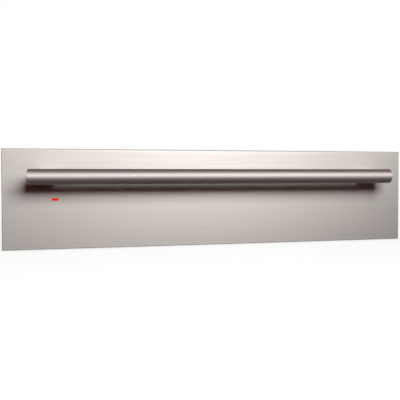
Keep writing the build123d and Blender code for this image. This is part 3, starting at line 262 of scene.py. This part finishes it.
def painted_edge_light(tree, tint, node_name):
    """Painted shade along a sheet's rim with a painted highlight line inside it, standing in for the light on its
    turned-back edges.
    """
    low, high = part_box(node_name)
    where = node(tree, "TexCoord").outputs["Object"]
    off_centre = vector_node(tree, "ABSOLUTE", vector_node(tree, "SUBTRACT", where, (low + high) / 2))
    inside = node(
        tree, "SeparateXYZ", {"Vector": vector_node(tree, "SUBTRACT", (high - low) / 2, off_centre)}
    )
    inset = math_node(tree, "MINIMUM", inside.outputs["X"], inside.outputs["Z"])
    off_line = math_node(tree, "ABSOLUTE", math_node(tree, "SUBTRACT", inset, HIGHLIGHT_LINE_INSET))
    # Painted highlight on a line inside the edge, painted shade at the very rim.
    painted_highlight_share = spread(tree, off_line, HIGHLIGHT_LINE_SHARE, 0.0, 0.0, HIGHLIGHT_LINE_W)
    painted_shade_share = spread(tree, inset, SHADE_RIM_SHARE, 0.0, SHADE_RIM_INSET / 2, SHADE_RIM_INSET)
    return mixed(tree, painted_shade_share, mixed(tree, painted_highlight_share, tint, PAINTED_EDGE_HIGHLIGHT), PAINTED_EDGE_SHADE)


def brushed_steel(
    name, colour, roughness, lines, anisotropy, turn=0.0, axis="Z", metallic=1.0, edge=1.0, painted_edge_part=""
):
    """Stainless steel with a directional grain: lines holds the cells to a metre of its scratches."""
    made, tree, shader = principled(
        name,
        Metallic=metallic,
        Anisotropic=anisotropy,
        Anisotropic_Rotation=turn,
        Specular_Tint=rgba(edge, edge, edge),
    )
    tangent = node(tree, "Tangent", direction_type="RADIAL", axis=axis)
    tree.links.new(tangent.outputs["Tangent"], shader.inputs["Tangent"])
    fine = grain(tree, lines, detail=3.0)
    broad = grain(tree, [part / STREAK_WIDTH for part in lines], detail=1.0)
    streaks = [shade(colour, share) for share in STREAK_SHADES]
    tint = mixed(tree, spread(tree, broad, 0.0, 1.0), *streaks)
    tint = mixed(tree, spread(tree, fine, 0.0, SCRATCH_SHARE), tint, shade(colour, SCRATCH_SHADE))
    # A painted highlight line and painted shade along the edges of the given part.
    if painted_edge_part:
        tint = painted_edge_light(tree, tint, painted_edge_part)
    tree.links.new(tint, shader.inputs["Base Color"])
    roughened(tree, shader, fine, roughness, SCRATCH_ROUGHNESS)
    bumped(tree, shader, fine, SCRATCH_DEPTH, strength=0.5)
    return made


def galvanised_sheet():
    """Zinc coated sheet with a faint spangle of crystals."""
    made, tree, shader = principled("galvanised_sheet", Metallic=0.55)
    where = node(tree, "TexCoord").outputs["Object"]
    crystals = node(tree, "TexVoronoi", {"Vector": where, "Scale": SPANGLE_CELLS, "Randomness": 1.0})
    split = node(tree, "SeparateColor", {"Color": crystals.outputs["Color"]})
    haze = grain(tree, even(HAZE_CELLS), detail=2.0)
    dark, pale, dull = SPANGLE_COLOURS
    tint = mixed(tree, split.outputs["Red"], dark, pale)
    tint = mixed(tree, spread(tree, haze, 0.0, HAZE_SHARE), tint, dull)
    tree.links.new(tint, shader.inputs["Base Color"])
    rough = spread(tree, split.outputs["Green"], *SPANGLE_ROUGHNESS, 0.0, 1.0)
    tree.links.new(rough, shader.inputs["Roughness"])
    return made


def plated_steel(name, colour, roughness):
    """Zinc or nickel plating with a slight cloudiness and handling marks."""
    made, tree, shader = principled(name, Metallic=1.0)
    shades = [shade(colour, share) for share in PLATING_SHADES]
    haze, tint = clouded(tree, PLATING_CELLS, *shades, detail=4.0)
    tree.links.new(tint, shader.inputs["Base Color"])
    roughened(tree, shader, haze, roughness, PLATING_ROUGHNESS)
    return made


def moulding(name, colour, roughness, relief=0.00004, cells=900.0, variation=0.06):
    """Moulded plastic, rubber or paint with a fine matt skin."""
    made, tree, shader = principled(name)
    shades = [shade(colour, 1.0 - variation), shade(colour, 1.0 + variation)]
    cloud, tint = clouded(tree, CLOUD_CELLS, *shades, detail=2.0)
    tree.links.new(tint, shader.inputs["Base Color"])
    roughened(tree, shader, cloud, roughness, CLOUD_ROUGHNESS)
    bumped(tree, shader, grain(tree, even(cells), detail=2.0), relief, strength=0.4)
    return made


def lamp_glass():
    """Clear red lens of a lamp that is lit."""
    made, tree, shader = principled(
        "lamp_red", Roughness=0.3, Specular_IOR_Level=0.25, Emission_Strength=0.25
    )
    tint = clouded(tree, LENS_CELLS, *LENS_REDS, detail=1.0)[1]
    tree.links.new(tint, shader.inputs["Base Color"])
    tree.links.new(tint, shader.inputs["Emission Color"])
    return made


def dark_glass():
    """Toughened glass, printed dark on its underside."""
    made, tree, shader = principled("dark_glass", Roughness=0.04, IOR=1.52, Coat_Weight=0.3)
    tint = clouded(tree, PRINT_CELLS, *PRINT_BLACKS, detail=1.0)[1]
    tree.links.new(tint, shader.inputs["Base Color"])
    return made


def mineral_wool():
    """Matted fibres, yellowish grey."""
    made, tree, shader = principled("mineral_wool", Roughness=0.95, Sheen_Weight=0.4)
    fibres = grain(tree, FIBRE_CELLS, detail=5.0)
    dark, pale, fibre = WOOL_COLOURS
    tint = clouded(tree, TUFT_CELLS, dark, pale, detail=3.0)[1]
    tint = mixed(tree, spread(tree, fibres, 0.0, FIBRE_SHARE), tint, fibre)
    tree.links.new(tint, shader.inputs["Base Color"])
    bumped(tree, shader, fibres, FIBRE_DEPTH, strength=0.8)
    return made


def heater_steel():
    """Heater tube, browned and blued by its heat."""
    made, tree, shader = principled("heater_steel", Metallic=1.0)
    tint = clouded(tree, TEMPER_CELLS, *TEMPER_COLOURS, detail=3.0)[1]
    tree.links.new(tint, shader.inputs["Base Color"])
    oxide = grain(tree, even(OXIDE_CELLS), detail=2.0)
    tree.links.new(spread(tree, oxide, *OXIDE_ROUGHNESS), shader.inputs["Roughness"])
    return made


MATERIALS = {
    # The front steel carries a painted highlight line and painted shade along the panel's edges.
    "front_steel": brushed_steel(
        "front_steel", PANEL_COLOUR, 0.69, FRONT_GRAIN, 0.275, painted_edge_part="front_panel"
    ),
    "handle_steel": brushed_steel(
        "handle_steel", BAR_COLOUR, 0.82, BAR_GRAIN, 0.75, turn=0.25, axis="X", edge=0.2
    ),
    "drawer_steel": brushed_steel("drawer_steel", SHEET_COLOUR, 0.38, DRAWER_GRAIN, 0.2, metallic=0.75),
    "housing_sheet": galvanised_sheet(),
    "runner_steel": plated_steel("runner_steel", ZINC, 0.32),
    "fastener_steel": plated_steel("fastener_steel", BRIGHT_ZINC, 0.24),
    "silicone": moulding("silicone", SILICONE_GREY, 0.60),
    "mineral_wool": mineral_wool(),
    "foil": plated_steel("foil", ALUMINIUM_FOIL, 0.30),
    "dark_glass": dark_glass(),
    "grip_mat": moulding("grip_mat", MAT_GREY, 0.70, relief=0.0002, cells=420.0),
    "lamp_red": lamp_glass(),
    "pale_plastic": moulding("pale_plastic", CREAM, 0.50),
    "black_plastic": moulding("black_plastic", BLACK, 0.42),
    "thermostat_case": plated_steel("thermostat_case", NICKEL, 0.30),
    "fan_aluminium": plated_steel("fan_aluminium", FAN_ALUMINIUM, 0.38),
    "heater_tube": heater_steel(),
    "motor_iron": moulding("motor_iron", MOTOR_GREY, 0.5, relief=0.00008, cells=500.0, variation=0.15),
}
for name, piece in NODES.items():
    piece.data.materials.clear()
    piece.data.materials.append(MATERIALS[SLOT_OF[name]])


# ---------------------------------------------------------------- pieces made here
SMOOTH_ANGLE = 35

# The mat's ribs: the profile gives places along Y and shares of the rib's height.
MAT_SHEET_T = 0.00095
MAT_CORNER_R = 0.008
MAT_RIM = 0.007
RIB_PITCH = 0.005
RIB_FOOT = 0.0001
RIB_PROFILE = (
    (-0.0011, 0.0), (-0.0009, 0.5), (-0.0004, 1.0), (0.0004, 1.0), (0.0009, 0.5), (0.0011, 0.0)
)

# Mineral wool: the size of its voxels and how deep its skin is matted.
FRONT_WOOL = (0.004, 0.0008)
FLOOR_WOOL = (0.005, 0.0006)
WOOL_CLUMP = 2.5

# Screws: the head's radius and height and the shank's radius. The profile gives shares of the head.
HEAD_SIDES = 24
HEAD_PROFILE = ((1.0, 0.0), (1.0, 0.30), (0.95, 0.62), (0.84, 0.88), (0.66, 1.0))
PAN_SCREW = (0.00375, 0.002, 0.002)
CROSS_REACH = 0.0021
CROSS_HALF_W = 0.00055
CROSS_DEPTH = 0.0013
HANDLE_SCREW = (0.00475, 0.0032, 0.0025)
HEXAGON_R = 0.0023
HEXAGON_DEPTH = 0.0020
RECESS_DRAW = 0.8

# The dial's scale: its figures stand on an oval, and rings are an outer and an inner radius.
INK_T = 0.00006
SCALE_RADII = (0.0190, 0.0169)
SCALE_FIGURE = 0.0028
SCALE_DOT_R = 0.00035
SCALE_DOT_RADIUS = 0.0165
SCALE_MARKS = ("", "30", "40", "50", "60", "70", "80")
OFF_RING = (0.0011, 0.0007)

# The rocker's dished top above its pivot, and the marks on it.
ROCKER_TOP = 0.005
ROCKER_DIP = 0.0018
ROCKER_HALF_W = 0.0086
ROCKER_MARK_X = 0.005
ROCKER_RING = (0.0019, 0.0013)
ROCKER_LINE = (0.0008, 0.0038)

# The paint in the knob's groove, which is POINTER_DEPTH deep.
POINTER_W = 0.0013
POINTER_ENDS = (0.0140, 0.0077)
POINTER_DEPTH = 0.0006
POINTER_T = 0.00042


def placed(name, bm, material, body, *replaced):
    """A finished mesh as a piece: it rides on a body and may stand for CAD nodes."""
    mesh = bpy.data.meshes.new(name)
    bmesh.ops.recalc_face_normals(bm, faces=bm.faces)
    bm.to_mesh(mesh)
    bm.free()
    mesh.shade_smooth()
    mesh.set_sharp_from_angle(angle=radians(SMOOTH_ANGLE))
    mesh.materials.append(MATERIALS[material])
    made = bpy.data.objects.new(name, mesh)
    bpy.context.collection.objects.link(made)
    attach(made, body)
    if replaced:
        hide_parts(*replaced)


def evaluated_mesh(piece):
    """A new mesh of an object as it is with its modifiers."""
    return bpy.data.meshes.new_from_object(piece.evaluated_get(bpy.context.evaluated_depsgraph_get()))


def walls(bm, first, second):
    """Faces between two closed loops with the same number of points."""
    for i in range(len(first)):
        j = (i + 1) % len(first)
        bm.faces.new((first[i], first[j], second[j], second[i]))


def prism(bm, outline, low_z, high_z):
    """A flat slab over an outline of (x, y) points."""
    low = [bm.verts.new((x, y, low_z)) for x, y in outline]
    high = [bm.verts.new((x, y, high_z)) for x, y in outline]
    bm.faces.new(low)
    bm.faces.new(high)
    walls(bm, low, high)


def rounded_rectangle(low, high, radius, steps=6):
    """Outline of a rectangle with round corners."""
    points = []
    centres = (
        (high.x - radius, high.y - radius),
        (low.x + radius, high.y - radius),
        (low.x + radius, low.y + radius),
        (high.x - radius, low.y + radius),
    )
    for quarter, (x, y) in enumerate(centres):
        for i in range(steps + 1):
            angle = (quarter + i / steps) * pi / 2
            points.append((x + radius * cos(angle), y + radius * sin(angle)))
    return points


def ribbed_mat():
    """Silicone mat: a sheet with round corners and low ribs from side to side."""
    low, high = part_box("anti_slip_mat")
    top = low.z + MAT_SHEET_T
    rise = high.z - top
    bm = bmesh.new()
    prism(bm, rounded_rectangle(low, high, MAT_CORNER_R), low.z, top)
    ribs = int((high.y - low.y - 2 * MAT_RIM) / RIB_PITCH)
    first = (low.y + high.y - (ribs - 1) * RIB_PITCH) / 2
    profile = [(y, share * rise if share else -RIB_FOOT) for y, share in RIB_PROFILE]
    for i in range(ribs):
        middle = first + i * RIB_PITCH
        ends = [
            [bm.verts.new((x, middle + y, top + z)) for y, z in profile]
            for x in (low.x + MAT_RIM, high.x - MAT_RIM)
        ]
        for end in ends:
            bm.faces.new(end)
        walls(bm, *ends)
    placed("ribbed_mat", bm, "grip_mat", "drawer", "anti_slip_mat")


def wool_slab(name, source, body, voxel, depth):
    """Mineral wool: the node's own outline with soft edges and a matted, uneven skin."""
    made = bpy.data.objects.new(name, NODES[source].data.copy())
    bpy.context.collection.objects.link(made)
    closed = made.modifiers.new("closed", "REMESH")
    closed.mode = "VOXEL"
    closed.voxel_size = voxel
    closed.use_smooth_shade = True
    clumps = bpy.data.textures.new(name, "CLOUDS")
    clumps.noise_scale = WOOL_CLUMP * voxel
    clumps.noise_depth = 3
    matted = made.modifiers.new("matted", "DISPLACE")
    matted.texture = clumps
    matted.strength = depth
    matted.mid_level = 1.0
    shaped = evaluated_mesh(made)
    made.modifiers.clear()
    made.data = shaped
    shaped.materials.clear()
    shaped.materials.append(MATERIALS["mineral_wool"])
    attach(made, body)
    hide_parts(source)


def turned(x, z, angle):
    """A point turned about the middle of a screw."""
    return (x * cos(angle) - z * sin(angle), x * sin(angle) + z * cos(angle))


def cross_recess(reach, half_w):
    """Outline of a cross, its first point at the lower corner of the right arm."""
    arm = ((reach, -half_w), (reach, half_w), (half_w, half_w))
    return [turned(x, z, quarter * pi / 2) for quarter in range(4) for x, z in arm]


def hexagon_recess(radius):
    """Outline of a hexagon, its first point level with the first of a cross."""
    return [turned(radius, 0.0, i * pi / 3 - pi / 12) for i in range(6)]


def screws(source, body, size, recess, depth):
    """Pan head screws along Y in place of a node's plain ones, with a recess in each head."""
    head_r, head_h, shank_r = size
    low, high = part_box(source)
    seat = high.y - head_h
    # Rounded to a micrometre, so that a box one head high gives one row.
    heights = sorted({round(low.z + head_r, 6), round(high.z - head_r, 6)})
    places = [(x, z) for x in (low.x + head_r, high.x - head_r) for z in heights]
    rings = [(shank_r, low.y), (shank_r, seat)]
    rings += [(share * head_r, seat + rise * head_h) for share, rise in HEAD_PROFILE]
    step = HEAD_SIDES // len(recess)
    bm = bmesh.new()
    for x, z in places:
        loops = []
        # The rings start one side early, where the first point of a recess lies.
        for radius, y in rings:
            points = [turned(radius, 0.0, (i - 1) * 2 * pi / HEAD_SIDES) for i in range(HEAD_SIDES)]
            loops.append([bm.verts.new((x + u, y, z + v)) for u, v in points])
        bm.faces.new(loops[0])
        for inner, outer in zip(loops, loops[1:]):
            walls(bm, inner, outer)
        mouth = [bm.verts.new((x + u, high.y, z + v)) for u, v in recess]
        foot = [
            bm.verts.new((x + RECESS_DRAW * u, high.y - depth, z + RECESS_DRAW * v)) for u, v in recess
        ]
        for i in range(len(recess)):
            arc = [loops[-1][(step * i + k) % HEAD_SIDES] for k in range(step + 1)]
            bm.faces.new(arc + [mouth[(i + 1) % len(recess)], mouth[i]])
        walls(bm, mouth, foot)
        bm.faces.new(foot)
    placed(source + "_recessed", bm, "fastener_steel", body, source)


def band(bm, pairs, lift, thickness=INK_T, closed=False):
    """Raised ink or paint: pairs of points across it, set on a surface, with walls all round."""
    rows = [
        [bm.verts.new(lift(u, v, rise)) for u, v in pair for rise in (0.0, thickness)] for pair in pairs
    ]
    for i in range(len(rows) if closed else len(rows) - 1):
        a_low, a_high, b_low, b_high = rows[i]
        c_low, c_high, d_low, d_high = rows[(i + 1) % len(rows)]
        bm.faces.new((a_high, b_high, d_high, c_high))
        bm.faces.new((a_low, c_low, d_low, b_low))
        bm.faces.new((a_low, a_high, c_high, c_low))
        bm.faces.new((b_low, d_low, d_high, b_high))
    if not closed:
        for a_low, a_high, b_low, b_high in (rows[0], rows[-1]):
            bm.faces.new((a_low, a_high, b_high, b_low))


def ring_pairs(centre, outer, inner, count=24):
    """Pairs of points across a ring."""
    angles = [2 * pi * i / count for i in range(count)]
    return [
        [(centre[0] + r * cos(a), centre[1] + r * sin(a)) for r in (outer, inner)] for a in angles
    ]


def dot_pairs(centre, radius, count=8):
    """Pairs of points across a round dot."""
    angles = [pi * (i + 0.5) / count for i in range(count)]
    return [
        [(centre[0] + radius * cos(a), centre[1] + side * radius * sin(a)) for side in (-1, 1)]
        for a in angles
    ]


def figures(bm, text, place):
    """Plain figures with a little thickness, centred on a place."""
    curve = bpy.data.curves.new("figures", "FONT")
    curve.body = text
    curve.size = SCALE_FIGURE
    curve.align_x = "CENTER"
    curve.align_y = "CENTER"
    curve.extrude = INK_T / 2
    holder = bpy.data.objects.new("figures", curve)
    bpy.context.collection.objects.link(holder)
    flat = evaluated_mesh(holder)
    flat.transform(Matrix.Translation(place))
    bm.from_mesh(flat)
    bpy.data.meshes.remove(flat)
    bpy.data.objects.remove(holder)
    bpy.data.curves.remove(curve)


def dial_scale():
    """Temperatures round the knob, from off at its left clockwise over the knob's turn."""
    turn = JOINTS["thermostat_turn"]
    x0, y0, _ = turn["pos_m"]
    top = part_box("control_strip")[1].z
    bm = bmesh.new()

    def lift(u, v, rise):
        return (x0 + u, y0 + v, top + rise)

    step = radians(turn["range_deg"][1]) / (len(SCALE_MARKS) - 1)
    for i, text in enumerate(SCALE_MARKS):
        angle = pi - i * step
        place = (SCALE_RADII[0] * cos(angle), SCALE_RADII[1] * sin(angle))
        if text:
            figures(bm, text, Vector(lift(*place, INK_T / 2)))
            between = angle + step / 2
            dot = (SCALE_DOT_RADIUS * cos(between), SCALE_DOT_RADIUS * sin(between))
            band(bm, dot_pairs(dot, SCALE_DOT_R), lift)
        else:
            band(bm, ring_pairs(place, *OFF_RING), lift, closed=True)
    placed("dial_scale", bm, "black_plastic", "drawer")


def rocker_marks():
    """A ring on the rocker's pressed end and a line on its raised one, laid on its dished top."""
    rock = JOINTS["power_rocker"]
    pivot = Vector(rock["pos_m"])
    tilt = radians(rock["range_deg"][1]) / 2
    along = Vector((cos(tilt), 0.0, sin(tilt)))
    up = Vector((-sin(tilt), 0.0, cos(tilt)))
    dish_r = (ROCKER_HALF_W**2 + ROCKER_DIP**2) / (2 * ROCKER_DIP)

    def lift(u, v, rise):
        height = ROCKER_TOP - ROCKER_DIP + dish_r - sqrt(dish_r**2 - u**2) + rise
        return pivot + along * u + up * height + Vector((0.0, v, 0.0))

    bm = bmesh.new()
    band(bm, ring_pairs((-ROCKER_MARK_X, 0.0), *ROCKER_RING), lift, closed=True)
    half_w, half_l = ROCKER_LINE[0] / 2, ROCKER_LINE[1] / 2
    line = [[(ROCKER_MARK_X - half_w, v), (ROCKER_MARK_X + half_w, v)] for v in (-half_l, half_l)]
    band(bm, line, lift)
    placed("rocker_marks", bm, "pale_plastic", "rocker")


def knob_pointer():
    """Pale paint in the groove of the knob."""
    low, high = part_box("thermostat_knob")
    x0, y0 = (low.x + high.x) / 2, (low.y + high.y) / 2

    def lift(u, v, rise):
        return (x0 - u, y0 + v, high.z - POINTER_DEPTH + rise)

    bm = bmesh.new()
    band(bm, [[(u, -POINTER_W / 2), (u, POINTER_W / 2)] for u in POINTER_ENDS], lift, POINTER_T)
    placed("knob_pointer", bm, "pale_plastic", "knob")


CROSS = cross_recess(CROSS_REACH, CROSS_HALF_W)
ribbed_mat()
wool_slab("front_wool", "front_insulation", "drawer", *FRONT_WOOL)
wool_slab("floor_wool", "insulation_pad", "drawer", *FLOOR_WOOL)
screws("back_screws", "housing", PAN_SCREW, CROSS, CROSS_DEPTH)
screws("drawer_screws", "drawer", PAN_SCREW, CROSS, CROSS_DEPTH)
screws("handle_screws", "drawer", HANDLE_SCREW, hexagon_recess(HEXAGON_R), HEXAGON_DEPTH)
dial_scale()
rocker_marks()
knob_pointer()


# ---------------------------------------------------------------- studio
def emitter(tree, kind, colour, strength):
    """The output of a shader that gives plain light."""
    return node(tree, kind, {"Color": colour, "Strength": strength}).outputs[0]


def background_share(tree):
    """1 for rays that show the background itself: from the camera, off metal and through glass."""
    path = node(tree, "LightPath").outputs
    seen = math_node(tree, "MAXIMUM", path["Is Camera Ray"], path["Is Glossy Ray"])
    return math_node(tree, "MAXIMUM", seen, path["Is Transmission Ray"])


def emptied(holder):
    """The node tree of a material or world, with nothing in it."""
    holder.use_nodes = True
    holder.node_tree.nodes.clear()
    return holder.node_tree


def stage_piece(name, points, faces):
    """A plain mesh that belongs to the stage, and the empty node tree of its paint."""
    mesh = bpy.data.meshes.new(name)
    mesh.from_pydata(points, [], faces)
    made = bpy.data.objects.new(name, mesh)
    bpy.context.collection.objects.link(made)
    paint = bpy.data.materials.new(name)
    mesh.materials.append(paint)
    return made, emptied(paint)


def white_world():
    """White where the camera, metal or glass sees it, and dimmer as light on matt surfaces."""
    world = bpy.data.worlds.new("studio")
    bpy.context.scene.world = world
    tree = emptied(world)
    white = rgba(1.0, 1.0, 1.0)
    ambient = emitter(tree, "Background", white, AMBIENT)
    seen = emitter(tree, "Background", white, 1.0)
    mix = node(tree, "MixShader", {0: background_share(tree), 1: ambient, 2: seen})
    node(tree, "OutputWorld", {"Surface": mix.outputs[0]})


def floor():
    """Pale floor: it takes the object's shadow, and is whiter with distance where it is seen."""
    corners = [(-1, -1), (1, -1), (1, 1), (-1, 1)]
    points = [(x * FLOOR_HALF, y * FLOOR_HALF, 0.0) for x, y in corners]
    tree = stage_piece("floor", points, [(0, 1, 2, 3)])[1]
    matt = node(tree, "BsdfDiffuse", {"Color": FLOOR_COLOUR}).outputs[0]
    white = emitter(tree, "Emission", rgba(1.0, 1.0, 1.0), 1.0)
    where = node(tree, "TexCoord").outputs["Object"]
    away = node(tree, "VectorMath", {0: where}, operation="LENGTH").outputs["Value"]
    fade = spread(tree, away, *FLOOR_WHITE, *FLOOR_FADE)
    share = math_node(tree, "MULTIPLY", background_share(tree), fade)
    mix = node(tree, "MixShader", {0: share, 1: matt, 2: white})
    node(tree, "OutputMaterial", {"Surface": mix.outputs[0]})


def dark_cards():
    """Dark sheet below, behind, above and at the left of the camera: only gloss shows it."""
    profile = [
        (PANEL_Y - CARD_CLEARANCE, CARD_CLEARANCE),
        (CARD_FRONT_Y, CARD_CLEARANCE),
        (CARD_FRONT_Y, CARD_TOP_Z),
        (CARD_BACK_Y, CARD_TOP_Z),
    ]
    points = [(side * CARD_HALF_W, y, z) for y, z in profile for side in (-1, 1)]
    faces = [(i, i + 1, i + 3, i + 2) for i in (0, 2, 4)] + [(0, 2, 4, 6)]
    made, tree = stage_piece("dark_cards", points, faces)
    made.visible_camera = False
    made.visible_diffuse = False
    made.visible_transmission = False
    made.visible_shadow = False
    level = emitter(tree, "Emission", CARD_COLOUR, CARD_LEVEL)
    node(tree, "OutputMaterial", {"Surface": level})


def area_light(name, place, size, power, aim):
    """A soft light that isn't seen itself."""
    lamp = bpy.data.lights.new(name, "AREA")
    lamp.shape = "RECTANGLE"
    lamp.size, lamp.size_y = size
    lamp.energy = power
    made = bpy.data.objects.new(name, lamp)
    bpy.context.collection.objects.link(made)
    made.location = place
    made.rotation_euler = (Vector(aim) - Vector(place)).to_track_quat("-Z", "Y").to_euler()
    made.visible_camera = False
    return made


def lamps():
    """A soft light in front, a dim warm one to fill in, and one behind that no gloss shows."""
    area_light("softbox", SOFTBOX_PLACE, SOFTBOX_SIZE, SOFTBOX_POWER, SOFTBOX_AIM)
    warm = area_light("warm_fill", WARM_FILL_PLACE, WARM_FILL_SIZE, WARM_FILL_POWER, WARM_FILL_AIM)
    warm.data.color = WARM_FILL_COLOUR
    back = area_light(
        "back_softbox", BACK_LIGHT_PLACE, BACK_LIGHT_SIZE, BACK_LIGHT_POWER, BACK_LIGHT_AIM
    )
    back.visible_glossy = False


def camera():
    """The photograph's view."""
    lens = bpy.data.cameras.new("camera")
    lens.lens = CAMERA_LENS
    lens.shift_x, lens.shift_y = CAMERA_SHIFT
    lens.clip_start = CAMERA_NEAR
    made = bpy.data.objects.new("camera", lens)
    bpy.context.collection.objects.link(made)
    made.location = CAMERA_PLACE
    made.rotation_euler = (radians(90 - CAMERA_PITCH), 0, -radians(CAMERA_YAW))
    bpy.context.scene.camera = made


bpy.context.scene.view_settings.view_transform = "Standard"
camera()
white_world()
floor()
dark_cards()
lamps()
